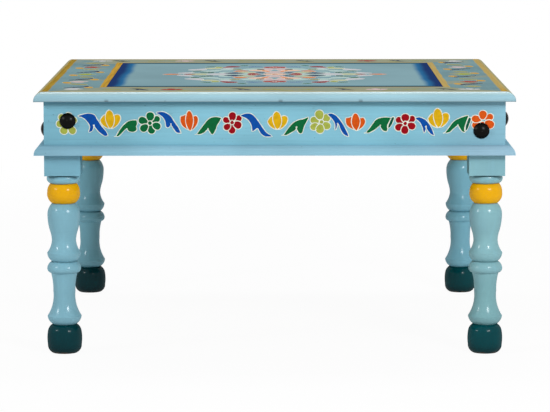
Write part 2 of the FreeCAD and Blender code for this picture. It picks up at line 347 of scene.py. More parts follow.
class FinishGraph(Graph):
    """Graph of one material."""

    def __init__(self, name: str) -> None:
        """Starts an empty graph for a new material.

        Args:
            name: The material's name.
        """
        self.material = bpy.data.materials.new(name)
        self.material.use_nodes = True
        super().__init__(self.material.node_tree)
        self.output = self.node("ShaderNodeOutputMaterial")
        self.place = self.node("ShaderNodeTexCoord").outputs["Object"]

    def parts(self) -> tuple[Wire, Wire, Wire]:
        """The place's X, Y and Z."""
        node = self.node("ShaderNodeSeparateXYZ", inputs={"Vector": self.place})
        return (Wire(self, node.outputs[0]), Wire(self, node.outputs[1]), Wire(self, node.outputs[2]))

    def noise(self, scale: Union[float, Triple], detail: float = 2.0) -> Wire:
        """Noise from 0 to 1 about its middle at a place.

        Args:
            scale: Waves for each metre, one number or one for each axis.
            detail: How many finer octaves it has.

        Returns:
            The noise.
        """
        scales = scale if isinstance(scale, tuple) else (scale, scale, scale)
        mapped = self.node("ShaderNodeMapping", inputs={"Vector": self.place, "Scale": scales})
        inputs = {"Vector": mapped.outputs[0], "Scale": 1.0, "Detail": detail}
        return Wire(self, self.node("ShaderNodeTexNoise", inputs=inputs).outputs["Fac"])

    def astray(self, waves: float, by_mm: float) -> Wire:
        """A length that wanders about zero, by half of by_mm each way."""
        return (self.noise(waves, detail=1.0) - NOISE_MIDDLE) * (by_mm * MM)

    def brushed(self, grain: Axis, brush: Brush) -> tuple[Wire, Wire]:
        """Noise of brush strokes along a grain, and noise of soft clouds."""
        strokes = self.noise(grain.stretched(brush.across, brush.along), detail=3.0)
        return (strokes, self.noise(brush.clouds))

    def relief(self, strokes: Wire, brush: Brush) -> Wire:
        """Bump height of brush strokes with some grit."""
        return strokes + brush.grit * self.noise(brush.grit_waves)

    def sheen(self) -> Wire:
        """Gloss of a brushed face: full from straight ahead, gone at a grazing view."""
        facing = self.node("ShaderNodeLayerWeight", inputs={"Blend": 0.5}).outputs["Facing"]
        return self.ramp(Wire(self, facing), SHEEN_FACING)

    def coat(self, strength: Number, noise: Wire) -> Wire:
        """Strength of a coat that a noise makes uneven."""
        return strength * (COAT_EVEN + COAT_BY_NOISE * noise) * self.sheen()

    def mix(self, factor: Number, first: Feed, second: Feed, blend: str = "MIX") -> bpy.types.NodeSocket:
        """Mixes two colours.

        Args:
            factor: 0 for the first colour and 1 for the second.
            first: A colour or a colour socket.
            second: A colour or a colour socket.
            blend: How the second one acts on the first.

        Returns:
            The mixed colour's socket.
        """
        settings = {"data_type": "RGBA", "blend_type": blend}
        return self.node("ShaderNodeMix", settings, {0: factor, 6: first, 7: second}).outputs[2]

    def tinted(self, factor: Number, colour: Feed, tint: Colour) -> bpy.types.NodeSocket:
        """A colour multiplied by a tint, as far as a factor tells."""
        return self.mix(factor, colour, tint, "MULTIPLY")

    def mottled(self, noise: Wire, base: Colour, mottle: Mottle) -> bpy.types.NodeSocket:
        """Two shades of a base colour that a noise mixes."""
        return self.mix(noise.rise(mottle.levels), shaded(base, mottle.first), shaded(base, mottle.second))

    def toned(self, mask: Wire, colour: Feed, base: Colour, shade: Shade) -> bpy.types.NodeSocket:
        """A colour with a shade of a base colour laid on where a mask tells."""
        return self.mix(mask * shade.strength, colour, shaded(base, shade.share))

    def laid(self, noise: Wire, colour: Feed, base: Colour, shade: Shade) -> bpy.types.NodeSocket:
        """A colour with a shade of a base colour laid on where a noise reaches its levels."""
        return self.toned(noise.rise(shade.levels), colour, base, shade)

    def laid_over(self, length: Wire, colour: Feed, base: Colour, shade: Shade) -> bpy.types.NodeSocket:
        """The same where a length reaches them, with the levels in millimetres."""
        return self.toned(length.over(shade.levels), colour, base, shade)

    def finish(self, height: Number, depth_mm: float, inputs: Inputs) -> bpy.types.Material:
        """Ends the graph in a surface shader with a bump.

        Args:
            height: Bump height from 0 to 1.
            depth_mm: The bump's depth.
            inputs: The shader's sockets.

        Returns:
            The finished material.
        """
        raised = {"Strength": 1.0, "Distance": depth_mm * MM, "Height": height}
        bump = self.node("ShaderNodeBump", inputs=raised)
        shader = self.node("ShaderNodeBsdfPrincipled", inputs={**inputs, "Normal": bump.outputs[0]})
        self.feed(self.output.inputs["Surface"], shader.outputs[0])
        return self.material

    def painted(
        self, colour: Feed, rough: Wire, coat: Wire, coat_roughness: float, height: Number, depth_mm: float
    ) -> bpy.types.Material:
        """Ends the graph in paint, which shines by its coat alone.

        Args:
            colour: The paint's colour.
            rough: Its roughness.
            coat: How strong its coat is.
            coat_roughness: The coat's own roughness.
            height: Bump height from 0 to 1.
            depth_mm: The bump's depth.

        Returns:
            The finished material.
        """
        inputs: Inputs = {
            "Base Color": colour,
            "Roughness": rough,
            "Specular IOR Level": 0.0,
            "Coat Weight": coat,
            "Coat Roughness": coat_roughness,
        }
        return self.finish(height, depth_mm, inputs)


@dataclass(frozen=True)
class BoardPaint:
    """Light blue paint brushed along a board, a little uneven and scuffed, with painted shadow, shade and
    reflection.
    """

    name: str
    grain: Axis
    base: Colour
    # Painted shadow of the top's overhang: a darker blue band just below this level, thinning out towards the
    # right end.
    painted_shadow_mm: Optional[float] = None
    seam_and_painted_shadow: Colour = linear(60, 129, 160)
    painted_shadow_below_mm: Span = (4.6, 0.8)
    painted_shadow_fade_mm: Span = (0.0, 200.0)
    painted_shadow_fade: float = 0.9
    painted_shadow_strength: float = 0.50
    painted_shadow_by_strokes: float = 0.2
    # Painted shade darkens the left end of the front and back boards, and a painted reflection greys their
    # right end.
    left_painted_shade: Colour = (0.86, 0.87, 0.88, 1.0)
    left_painted_shade_mm: Span = (-130.0, -270.0)
    right_painted_reflection: Colour = (1.05, 0.92, 0.92, 1.0)
    right_painted_reflection_mm: Span = (150.0, 270.0)
    brush: Brush = Brush(420.0, 9.0, 7.0)
    mottle: Mottle = Mottle((0.35, 0.72), 1.05, 0.90)
    light_strokes: Shade = Shade((0.50, 0.85), 1.22, 0.55)
    dark_strokes: Shade = Shade((0.50, 0.18), 0.74, 0.45)
    speck_waves: float = 310.0
    specks: Shade = Shade((0.74, 0.80), 0.42, 0.5)
    gloss: Gloss = Gloss(0.36, 0.16, 0.10, 0.16, 0.22)

    def material(self) -> bpy.types.Material:
        """Builds the material.

        Returns:
            The material.
        """
        graph = FinishGraph(self.name)
        x, _, z = graph.parts()
        strokes, clouds = graph.brushed(self.grain, self.brush)
        colour = graph.mottled(clouds, self.base, self.mottle)
        for noise, shade in (
            (strokes, self.light_strokes),
            (strokes, self.dark_strokes),
            (graph.noise(self.speck_waves, detail=1.0), self.specks),
        ):
            colour = graph.laid(noise, colour, self.base, shade)
        # Painted shade at the left end and a painted reflection at the right end.
        if self.grain is Axis.X:
            colour = graph.tinted(x.over(self.left_painted_shade_mm), colour, self.left_painted_shade)
            colour = graph.tinted(x.over(self.right_painted_reflection_mm), colour, self.right_painted_reflection)
        # Painted shadow just below the top's overhang.
        if self.painted_shadow_mm is not None:
            start, full = self.painted_shadow_below_mm
            seam_and_painted_shadow = z.over((self.painted_shadow_mm - start, self.painted_shadow_mm - full))
            seam_and_painted_shadow = seam_and_painted_shadow * (1.0 - self.painted_shadow_fade * x.over(self.painted_shadow_fade_mm))
            seam_and_painted_shadow = seam_and_painted_shadow * (self.painted_shadow_strength + self.painted_shadow_by_strokes * strokes)
            colour = graph.mix(seam_and_painted_shadow, colour, self.seam_and_painted_shadow)
        coat = graph.coat(self.gloss.coat, strokes)
        rough = self.gloss.rough(strokes, clouds)
        height = graph.relief(strokes, self.brush)
        return graph.painted(colour, rough, coat, self.gloss.coat_roughness, height, BRUSHED_DEPTH_MM)


@dataclass(frozen=True)
class BareUnderside:
    """Unpainted wood on the lower faces of the top, inside the aprons."""

    wood: Colour = linear(176, 142, 100)
    ring_waves: Span = (210.0, 7.0)
    rings: Mottle = Mottle((0.3, 0.7), 1.08, 0.72)
    level_mm: Span = (330.5, 330.0)
    apron_mm: Span = (276.0, 275.0)

    def laid(self, graph: FinishGraph, colour: Feed, grain: Axis) -> bpy.types.NodeSocket:
        """The colour with bare wood on what faces down.

        Args:
            graph: The material's graph.
            colour: The colour of the painted faces.
            grain: Which way the wood's grain runs.

        Returns:
            The colour with the wood laid in.
        """
        x, y, z = graph.parts()
        rings = graph.noise(grain.stretched(*self.ring_waves), detail=4.0)
        wood = graph.mottled(rings, self.wood, self.rings)
        inside = abs(x).most(abs(y)).over(self.apron_mm)
        return graph.mix(inside * z.over(self.level_mm), colour, wood)


@dataclass(frozen=True)
class BorderMasks:
    """Graph of a border's paint, with the noises and masks that its colours share."""

    graph: FinishGraph
    strokes: Wire
    clouds: Wire
    along_x: Wire
    side: Wire


@dataclass(frozen=True)
class BorderPaint:
    """Paint of a top border board: two yellow bands on a grey-blue ground, and a light edge, with painted
    light and shade on the ground and the edge.
    """

    name: str
    grain: Axis
    outer_band_mm: Span = (281.3, 289.5)
    side_band_mm: Span = (282.6, 290.8)
    inner_band_mm: Span = (200.0, 222.0)
    band_foot_mm: Span = (320.7, 321.5)
    band_soft_mm: float = 0.5
    side_soft_mm: float = 1.0
    wobble_mm: float = 1.5
    wobble_waves: float = 22.0
    # Grey-blue ground: the top's blue paint with a painted shade and a painted reflection of the white
    # surroundings in it.
    ground: Colour = linear(118, 149, 155)
    olive: Colour = linear(143, 150, 131)
    khaki: Colour = linear(160, 156, 124)
    khaki_waves: float = 17.0
    khaki_levels: Span = (0.56, 0.70)
    khaki_strength: float = 0.6
    ground_mottle: Mottle = Mottle((0.3, 0.7), 1.06, 0.86)
    ground_strokes: Shade = Shade((0.5, 0.85), 1.25, 0.4)
    edge: Colour = linear(152, 193, 207)
    edge_mottle: Mottle = Mottle((0.3, 0.7), 1.04, 0.92)
    edge_strokes: Shade = Shade((0.5, 0.2), 0.78, 0.4)
    # Painted shade towards the rim's foot, a darker painted shade at its very foot, and a painted highlight
    # along its top.
    rim_painted_shade: Shade = Shade((327.5, 320.5), 0.78, 1.0)
    rim_foot_painted_shade: Shade = Shade((321.3, 320.6), 0.3, 0.6)
    rim_painted_highlight_mm: Span = (327.0, 330.0)
    rim_painted_highlight_tint: Colour = (1.10, 1.0, 0.92, 1.0)
    side_rim_mm: Span = (326.2, 330.2)
    side_rim: Colour = linear(166, 160, 122)
    yellow: Colour = linear(194, 154, 62)
    ochre: Colour = linear(164, 126, 50)
    ochre_levels: Span = (0.35, 0.75)
    left_outer_tint: Colour = (0.73, 0.80, 0.80, 1.0)
    right_yellow: Colour = linear(178, 166, 116)
    right_yellow_mm: tuple[Span, Span] = ((190.0, 200.0), (-310.0, -200.0))
    right_yellow_strength: float = 0.55
    khaki_bands: float = 0.45
    khaki_by_clouds: float = 0.5
    mitre_turn_mm: Span = (-2.0, 2.0)
    mitre: Shade = Shade((0.7, 0.2), 0.35, 0.45)
    mitre_depth: float = 1.5
    nicks_mm: tuple[float, ...] = (-209.0, 7.5, 107.0)
    nick_width_mm: Span = (3.6, 1.2)
    nick_front_mm: Span = (0.0, -100.0)
    nick_height_mm: Span = (324.5, 320.5)
    nick_waves: Span = (260.0, 90.0)
    nick: Shade = Shade((0.70, 0.76), 0.2, 0.7)
    brush: Brush = Brush(380.0, 10.0, 9.0)
    gloss: Gloss = Gloss(0.50, 0.16, 0.12, 0.35)
    edge_smoother: float = 0.17
    edge_coat: float = 0.55

    def material(self) -> bpy.types.Material:
        """Builds the material.

        Returns:
            The material.
        """
        graph = FinishGraph(self.name)
        x, y, z = graph.parts()
        strokes, clouds = graph.brushed(self.grain, self.brush)
        wobble = graph.astray(self.wobble_waves, 2 * self.wobble_mm)
        drawn = abs(x).most(abs(y)) + wobble
        along_x = (abs(y) - abs(x)).over(self.mitre_turn_mm)
        mitre = abs(abs(x) - abs(y)).over(self.mitre.levels)
        edge_at = self.outer_band_mm[1]
        edge = drawn.over((edge_at - self.band_soft_mm, edge_at + self.band_soft_mm))
        side = drawn.inside(self.side_band_mm, self.side_soft_mm) * (1.0 - along_x)
        outer = drawn.inside(self.outer_band_mm, self.band_soft_mm) * along_x + side
        inner = drawn.inside(self.inner_band_mm, self.band_soft_mm)
        bands = outer.most(inner) * z.over(self.band_foot_mm)
        masks = BorderMasks(graph, strokes, clouds, along_x, side)
        colour = graph.mix(edge, self._ground(masks), self._rim(masks))
        colour = graph.mix(bands, colour, self._yellow(masks))
        colour = graph.toned(mitre, colour, self.ground, self.mitre)
        colour = graph.toned(self._nicked(graph), colour, self.edge, self.nick)
        colour = BareUnderside().laid(graph, colour, self.grain)
        rough = self.gloss.rough(strokes, clouds) - self.edge_smoother * edge
        coat = self.edge_coat * edge * along_x + self.gloss.coat * graph.sheen()
        height = graph.relief(strokes, self.brush) - self.mitre_depth * mitre
        return graph.painted(colour, rough, coat, self.gloss.coat_roughness, height, BRUSHED_DEPTH_MM)

    def _ground(self, masks: BorderMasks) -> Feed:
        """The ground between the bands, which is olive on the front and the back.

        Args:
            masks: The shared noises and masks.

        Returns:
            The ground's colour.
        """
        graph = masks.graph
        ground = graph.mottled(masks.clouds, self.ground, self.ground_mottle)
        ground = graph.mix(masks.along_x, ground, self.olive)
        patches = graph.noise(self.khaki_waves).rise(self.khaki_levels) * self.khaki_strength
        ground = graph.mix(patches, ground, self.khaki)
        return graph.laid(masks.strokes, ground, self.ground, self.ground_strokes)

    def _rim(self, masks: BorderMasks) -> Feed:
        """The rounded outer edge, with a painted shade towards its foot and a painted highlight along its
        top.

        Args:
            masks: The shared noises and masks.

        Returns:
            The edge's colour.
        """
        graph = masks.graph
        _, _, z = graph.parts()
        rim = graph.mottled(masks.clouds, self.edge, self.edge_mottle)
        rim = graph.laid(masks.strokes, rim, self.edge, self.edge_strokes)
        # Painted shade towards the foot, darkest at the very foot, and a painted highlight along the top.
        rim = graph.laid_over(z, rim, self.edge, self.rim_painted_shade)
        rim = graph.laid_over(z, rim, self.edge, self.rim_foot_painted_shade)
        rim = graph.tinted(z.over(self.rim_painted_highlight_mm), rim, self.rim_painted_highlight_tint)
        return graph.mix(z.over(self.side_rim_mm) * (1.0 - masks.along_x), rim, self.side_rim)

    def _yellow(self, masks: BorderMasks) -> Feed:
        """The bands' paint: duller in front and behind, paler on the right, darker outside on the left.

        Args:
            masks: The shared noises and masks.

        Returns:
            The bands' colour.
        """
        graph = masks.graph
        x, y, _ = graph.parts()
        yellow = graph.mix(masks.strokes.rise(self.ochre_levels), self.yellow, self.ochre)
        yellow = graph.tinted(masks.side * x.over(LEFT_HALF), yellow, self.left_outer_tint)
        right = x.over(self.right_yellow_mm[0]) * y.over(self.right_yellow_mm[1])
        yellow = graph.mix(right * self.right_yellow_strength, yellow, self.right_yellow)
        khaki = masks.along_x * (self.khaki_bands + self.khaki_by_clouds * masks.clouds)
        return graph.mix(khaki, yellow, self.khaki)

    def _nicked(self, graph: FinishGraph) -> Wire:
        """Nicks low on the outer edge, scattered all round and at their own places in front.

        Args:
            graph: The material's graph.

        Returns:
            The nicks' mask.
        """
        x, y, z = graph.parts()
        nick = graph.noise(self.grain.stretched(*self.nick_waves), detail=1.0).rise(self.nick.levels)
        for nick_mm in self.nicks_mm:
            nick = nick.most(abs(x - nick_mm * MM).over(self.nick_width_mm) * y.over(self.nick_front_mm))
        return nick * z.over(self.nick_height_mm)


@dataclass(frozen=True)
class PanelPaint:
    """Paint of the panel: light blue that darkens to navy along its edges."""

    name: str
    edge_mm: float = 216.0
    sway_mm: float = 9.0
    sway_waves: float = 9.0
    # Light ground of the panel: its blue paint with a painted shade and a painted reflection of the white
    # surroundings in it.
    ground: Colour = linear(128, 160, 168)
    middle: Colour = linear(44, 104, 150)
    navy: Colour = linear(34, 56, 104)
    teal: Colour = linear(70, 114, 132)
    deep_teal: Colour = linear(38, 72, 84)
    corner_turn_mm: Span = (-4.0, 4.0)
    middle_mm: Span = (27.0, 17.0)
    dark_mm: Span = (19.0, 8.0)
    stroked_mm: Span = (30.0, 0.0)
    stroke_levels: Span = (0.55, 0.9)
    stroke_strength: float = 0.2
    # Dark line along the panel's edge, where it meets the border.
    seam_and_painted_shadow: Shade = Shade((3.2, 2.4), 0.4, 0.5)
    mottle: Mottle = Mottle((0.3, 0.7), 1.08, 0.90)
    light_strokes: Shade = Shade((0.5, 0.85), 1.2, 0.35)
    brush: Brush = Brush(300.0, 8.0, 5.0, 90.0, 0.4)
    gloss: Gloss = Gloss(0.50, 0.18, 0.14, 0.35)

    def material(self) -> bpy.types.Material:
        """Builds the material.

        Returns:
            The material.
        """
        graph = FinishGraph(self.name)
        x, y, _ = graph.parts()
        strokes, clouds = graph.brushed(Axis.X, self.brush)
        depth = self.edge_mm * MM - abs(x).most(abs(y))
        uneven = depth + graph.astray(self.sway_waves, self.sway_mm)
        along_x = (abs(y) - abs(x)).over(self.corner_turn_mm)
        blue = graph.mix(along_x, self.middle, self.teal)
        dark = graph.mix(along_x, self.navy, self.deep_teal)
        colour = graph.mottled(clouds, self.ground, self.mottle)
        colour = graph.laid(strokes, colour, self.ground, self.light_strokes)
        colour = graph.mix(uneven.over(self.middle_mm), colour, blue)
        colour = graph.mix(uneven.over(self.dark_mm), colour, dark)
        stroked = strokes.rise(self.stroke_levels) * self.stroke_strength * depth.over(self.stroked_mm)
        colour = graph.mix(stroked, colour, self.middle)
        colour = graph.laid_over(depth, colour, self.navy, self.seam_and_painted_shadow)
        colour = BareUnderside().laid(graph, colour, Axis.X)
        coat = self.gloss.coat * graph.sheen()
        height = graph.relief(strokes, self.brush)
        rough = self.gloss.rough(strokes, clouds)
        return graph.painted(colour, rough, coat, self.gloss.coat_roughness, height, BRUSHED_DEPTH_MM)


@dataclass(frozen=True)
class LegPaintedLight:
    """Painted light and shade: a tint on the blue of one corner's leg, all the way up or where a span tells.
    """

    x_mm: Span
    y_mm: Span
    tint: Colour
    z_mm: Optional[Span] = None


@dataclass(frozen=True)
class LegPaint:
    """Paint of a leg: light blue, with a yellow ball and a dark green foot, painted shade in its creases and
    under its block, and painted light and shade from leg to leg.
    """

    name: str
    ball_mm: Span = (190.1, 215.2)
    foot_top_mm: float = 36.6
    soft_mm: float = 0.3
    wobble_mm: float = 1.2
    wobble_waves: float = 60.0
    # The turning's creases, and the painted shade in them.
    creases_mm: tuple[float, ...] = (36.6, 116.4, 190.1, 215.2)
    crease_painted_shade: Shade = Shade((1.3, 0.2), 0.8, 0.35)
    leg_place_mm: float = 265.5
    # Where the block meets the turning, and the painted shadow in that gap on the middle of each face.
    block_gap_mm: Span = (225.0, 226.4)
    block_gap_painted_shadow: Shade = Shade((18.5, 14.0), 0.7, 0.9)
    blue: Colour = linear(124, 173, 190)
    greener: Colour = linear(131, 177, 184)
    blue_clouds: Shade = Shade((0.35, 0.75), 0.80, 0.5)
    drip_waves: Span = (190.0, 16.0)
    drip_height: float = 0.5
    blue_drips: Shade = Shade((0.5, 0.85), 1.2, 0.25)
    blue_strokes: Shade = Shade((0.5, 0.15), 0.72, 0.14)
    yellow: Colour = linear(228, 168, 8)
    yellow_mottle: Mottle = Mottle((0.35, 0.75), 1.03, 0.90)
    green: Colour = linear(0, 54, 60)
    green_mottle: Mottle = Mottle((0.3, 0.7), 1.2, 0.8)
    dark_foot: Shade = Shade((16.0, 2.0), 0.5, 0.6)
    # Painted light on the feet of the right legs.
    right_foot_painted_light: Colour = (1.4, 1.45, 1.4, 1.0)
    worn: Colour = linear(110, 86, 62)
    worn_mm: Span = (3.0, 0.6)
    worn_waves: float = 160.0
    worn_levels: Span = (0.45, 0.6)
    worn_strength: float = 0.8
    worn_rougher: float = 0.25
    brush: Brush = Brush(26.0, 520.0, 14.0)
    gloss: Gloss = Gloss(0.27, 0.10, 0.12, 0.42, 0.17)
    foot_duller: float = 0.22
    ball_duller: float = 0.14
    depth_mm: float = 0.08
    # Painted light and shade on the back legs and on stretches of the front legs.
    painted_light_tints: tuple[LegPaintedLight, ...] = (
        LegPaintedLight(LEFT_HALF, BACK_HALF, (0.88, 1.02, 1.02, 1.0)),
        LegPaintedLight(RIGHT_HALF, BACK_HALF, (1.02, 1.16, 1.18, 1.0)),
        LegPaintedLight(RIGHT_HALF, FRONT_HALF, (0.85, 0.89, 0.88, 1.0), (110.0, 85.0)),
        LegPaintedLight(LEFT_HALF, FRONT_HALF, (0.89, 0.95, 0.97, 1.0), (222.0, 224.0)),
        LegPaintedLight(LEFT_HALF, FRONT_HALF, (1.08, 1.08, 1.07, 1.0), (224.0, 222.0)),
    )

    def material(self) -> bpy.types.Material:
        """Builds the material.

        Returns:
            The material.
        """
        graph = FinishGraph(self.name)
        x, y, z = graph.parts()
        strokes, clouds = graph.brushed(Axis.Z, self.brush)
        drips = graph.noise(Axis.Z.stretched(*self.drip_waves))
        level = z + graph.astray(self.wobble_waves, self.wobble_mm)
        ball = level.inside(self.ball_mm, self.soft_mm)
        foot = level.over((self.foot_top_mm + self.soft_mm, self.foot_top_mm - self.soft_mm))
        yellow = graph.mottled(clouds, self.yellow, self.yellow_mottle)
        colour = graph.mix(ball, self._blue(graph, strokes, drips, clouds), yellow)
        green = graph.mottled(clouds, self.green, self.green_mottle)
        green = graph.laid_over(z, green, self.green, self.dark_foot)
        # Painted light on the feet of the right legs.
        green = graph.tinted(x.over(RIGHT_HALF), green, self.right_foot_painted_light)
        colour = graph.mix(foot, colour, green)
        # Painted shade in the creases of the turning.
        nearest, *others = [abs(level - crease_mm * MM) for crease_mm in self.creases_mm]
        for other in others:
            nearest = nearest.least(other)
        colour = graph.laid_over(nearest, colour, self.green, self.crease_painted_shade)
        # Painted shadow in the gap under the block, on the middle of each face.
        place = self.leg_place_mm * MM
        off_axis = abs(abs(x) - place).least(abs(abs(y) - place))
        gap_shadow = z.inside(self.block_gap_mm, self.soft_mm) * off_axis.over(self.block_gap_painted_shadow.levels)
        colour = graph.toned(gap_shadow, colour, self.green, self.block_gap_painted_shadow)
        worn = z.over(self.worn_mm) * graph.noise(self.worn_waves).rise(self.worn_levels)
        colour = graph.mix(worn * self.worn_strength, colour, self.worn)
        rough = self.gloss.rough(strokes, clouds) + self.worn_rougher * worn
        coat = graph.coat(self.gloss.coat - self.foot_duller * foot - self.ball_duller * ball, clouds)
        height = strokes + self.drip_height * drips
        return graph.painted(colour, rough, coat, self.gloss.coat_roughness, height, self.depth_mm)

    def _blue(self, graph: FinishGraph, strokes: Wire, drips: Wire, clouds: Wire) -> Feed:
        """The blue of the block and the turned length, a little different from leg to leg, with painted light
        and shade on some legs.

        Args:
            graph: The material's graph.
            strokes: Noise of the brush strokes.
            drips: Noise of the runs in the paint.
            clouds: Noise of the clouds.

        Returns:
            The blue.
        """
        x, y, z = graph.parts()
        front_right = x.over(RIGHT_HALF) * y.over(FRONT_HALF)
        blue = graph.mix(front_right, self.blue, self.greener)
        blue = graph.laid(clouds, blue, self.blue, self.blue_clouds)
        blue = graph.laid(drips, blue, self.blue, self.blue_drips)
        blue = graph.laid(strokes, blue, self.blue, self.blue_strokes)
        # Painted light and shade, leg by leg.
        for tint in self.painted_light_tints:
            mask = x.over(tint.x_mm) * y.over(tint.y_mm)
            if tint.z_mm is not None:
                mask = mask * z.over(tint.z_mm)
            blue = graph.tinted(mask, blue, tint.tint)
        return blue


@dataclass(frozen=True)
class OrnamentPaint:
    """One brush paint of the ornament, laid thickly and a little streaky."""

    paint: Paint
    prefix: str
    coat: float
    streak: float = 0.10
    streak_waves: float = 230.0
    streak_levels: Span = (0.3, 0.75)
    patch_waves: float = 46.0
    patch_levels: Span = (0.55, 0.8)
    patch_strength: float = 0.4
    roughness: float = 0.36
    by_streaks: float = 0.2
    coat_roughness: float = 0.2
    depth_mm: float = 0.10

    def material(self) -> bpy.types.Material:
        """Builds the material.

        Returns:
            The material.
        """
        graph = FinishGraph(self.prefix + "_" + self.paint.name.lower())
        streaks = graph.noise(self.streak_waves, detail=3.0)
        mottle = Mottle(self.streak_levels, 1 + self.streak, 1 - self.streak)
        patches = Shade(self.patch_levels, 1 - 2 * self.streak, self.patch_strength)
        colour = graph.mottled(streaks, self.paint.colour, mottle)
        colour = graph.laid(graph.noise(self.patch_waves), colour, self.paint.colour, patches)
        rough = self.roughness + self.by_streaks * (streaks - NOISE_MIDDLE)
        coat = graph.coat(self.coat, streaks)
        return graph.painted(colour, rough, coat, self.coat_roughness, streaks, self.depth_mm)


@dataclass(frozen=True)
class BlackSteel:
    """Black semi-gloss coating of the leg bolts."""

    name: str = "bolt_black"
    black: Colour = (0.002, 0.002, 0.0015, 1.0)
    rubbed: Colour = (0.012, 0.011, 0.009, 1.0)
    rubbed_waves: float = 130.0
    rubbed_levels: Span = (0.62, 0.78)
    grain_waves: float = 900.0
    roughness: float = 0.20
    grain_rougher: float = 0.10
    rubbed_rougher: float = 0.12
    specular: float = 0.08
    depth_mm: float = 0.05

    def material(self) -> bpy.types.Material:
        """Builds the material.

        Returns:
            The material.
        """
        graph = FinishGraph(self.name)
        grain = graph.noise(self.grain_waves)
        rubbed = graph.noise(self.rubbed_waves, detail=3.0).rise(self.rubbed_levels)
        inputs: Inputs = {
            "Base Color": graph.mix(rubbed, self.black, self.rubbed),
            "Roughness": self.roughness + self.grain_rougher * grain + self.rubbed_rougher * rubbed,
            "Specular IOR Level": self.specular,
        }
        return graph.finish(grain, self.depth_mm, inputs)


@dataclass(frozen=True)
class ZincPlate:
    """Zinc plating of washers, nuts, screws and pins."""

    name: str
    tone: Colour
    spangle_waves: float = 420.0
    spangle: Mottle = Mottle((0.3, 0.7), 1.0, 0.72)
    dull_waves: float = 90.0
    dull: Shade = Shade((0.45, 0.7), 0.5, 0.5)
    roughness: float = 0.28
    spangle_rougher: float = 0.2
    dull_rougher: float = 0.15
    depth_mm: float = 0.03

    def material(self) -> bpy.types.Material:
        """Builds the material.

        Returns:
            The material.
        """
        graph = FinishGraph(self.name)
        spangle = graph.noise(self.spangle_waves)
        dull = graph.noise(self.dull_waves, detail=3.0).rise(self.dull.levels)
        colour = graph.mottled(spangle, self.tone, self.spangle)
        colour = graph.toned(dull, colour, self.tone, self.dull)
        rough = self.roughness + self.spangle_rougher * spangle + self.dull_rougher * dull
        inputs: Inputs = {"Base Color": colour, "Metallic": 1.0, "Roughness": rough}
        return graph.finish(spangle, self.depth_mm, inputs)


@dataclass(frozen=True)
class PlanedWood:
    """Unpainted planed wood with its grain along one axis."""

    name: str
    grain: Axis
    light: Colour = linear(188, 150, 106)
    dark: Colour = linear(132, 94, 60)
    ring_waves: Span = (95.0, 3.0)
    ring_levels: Span = (0.35, 0.68)
    ring_height: float = 0.5
    pore_waves: Span = (900.0, 40.0)
    pores: Shade = Shade((0.6, 0.8), 0.5, 0.5)
    roughness: float = 0.62
    pore_rougher: float = 0.15
    depth_mm: float = 0.18

    def material(self) -> bpy.types.Material:
        """Builds the material.

        Returns:
            The material.
        """
        graph = FinishGraph(self.name)
        rings = graph.noise(self.grain.stretched(*self.ring_waves), detail=4.0)
        pores = graph.noise(self.grain.stretched(*self.pore_waves))
        colour = graph.mix(rings.rise(self.ring_levels), self.light, self.dark)
        colour = graph.laid(pores, colour, self.dark, self.pores)
        inputs: Inputs = {"Base Color": colour, "Roughness": self.roughness + self.pore_rougher * pores}
        return graph.finish(pores + self.ring_height * rings, self.depth_mm, inputs)


@dataclass(frozen=True)
class Outline:
    """Closed outline in a unit box, rounded everywhere but at its sharp points."""

    points: tuple[Point, ...]
    sharp: frozenset[int] = frozenset()

    def loop(self, steps: int = 5) -> Loop:
        """The outline as a fine loop.

        Args:
            steps: How many steps each stretch between two points is cut into.

        Returns:
            The loop's points, the first one not repeated.
        """
        count = len(self.points)
        loop: Loop = []
        for index in range(count):
            after = (index + 1) % count
            start, end = Vector(self.points[index]), Vector(self.points[after])
            before = start if index in self.sharp else Vector(self.points[index - 1])
            beyond = end if after in self.sharp else Vector(self.points[(index + 2) % count])
            leave, arrive = (end - before) / 2, (beyond - start) / 2
            for step in range(steps):
                t = step / steps
                spot = (
                    start * (2 * t ** 3 - 3 * t ** 2 + 1)
                    + leave * (t ** 3 - 2 * t ** 2 + t)
                    + end * (3 * t ** 2 - 2 * t ** 3)
                    + arrive * (t ** 3 - t ** 2)
                )
                loop.append((spot.x, spot.y))
        return loop


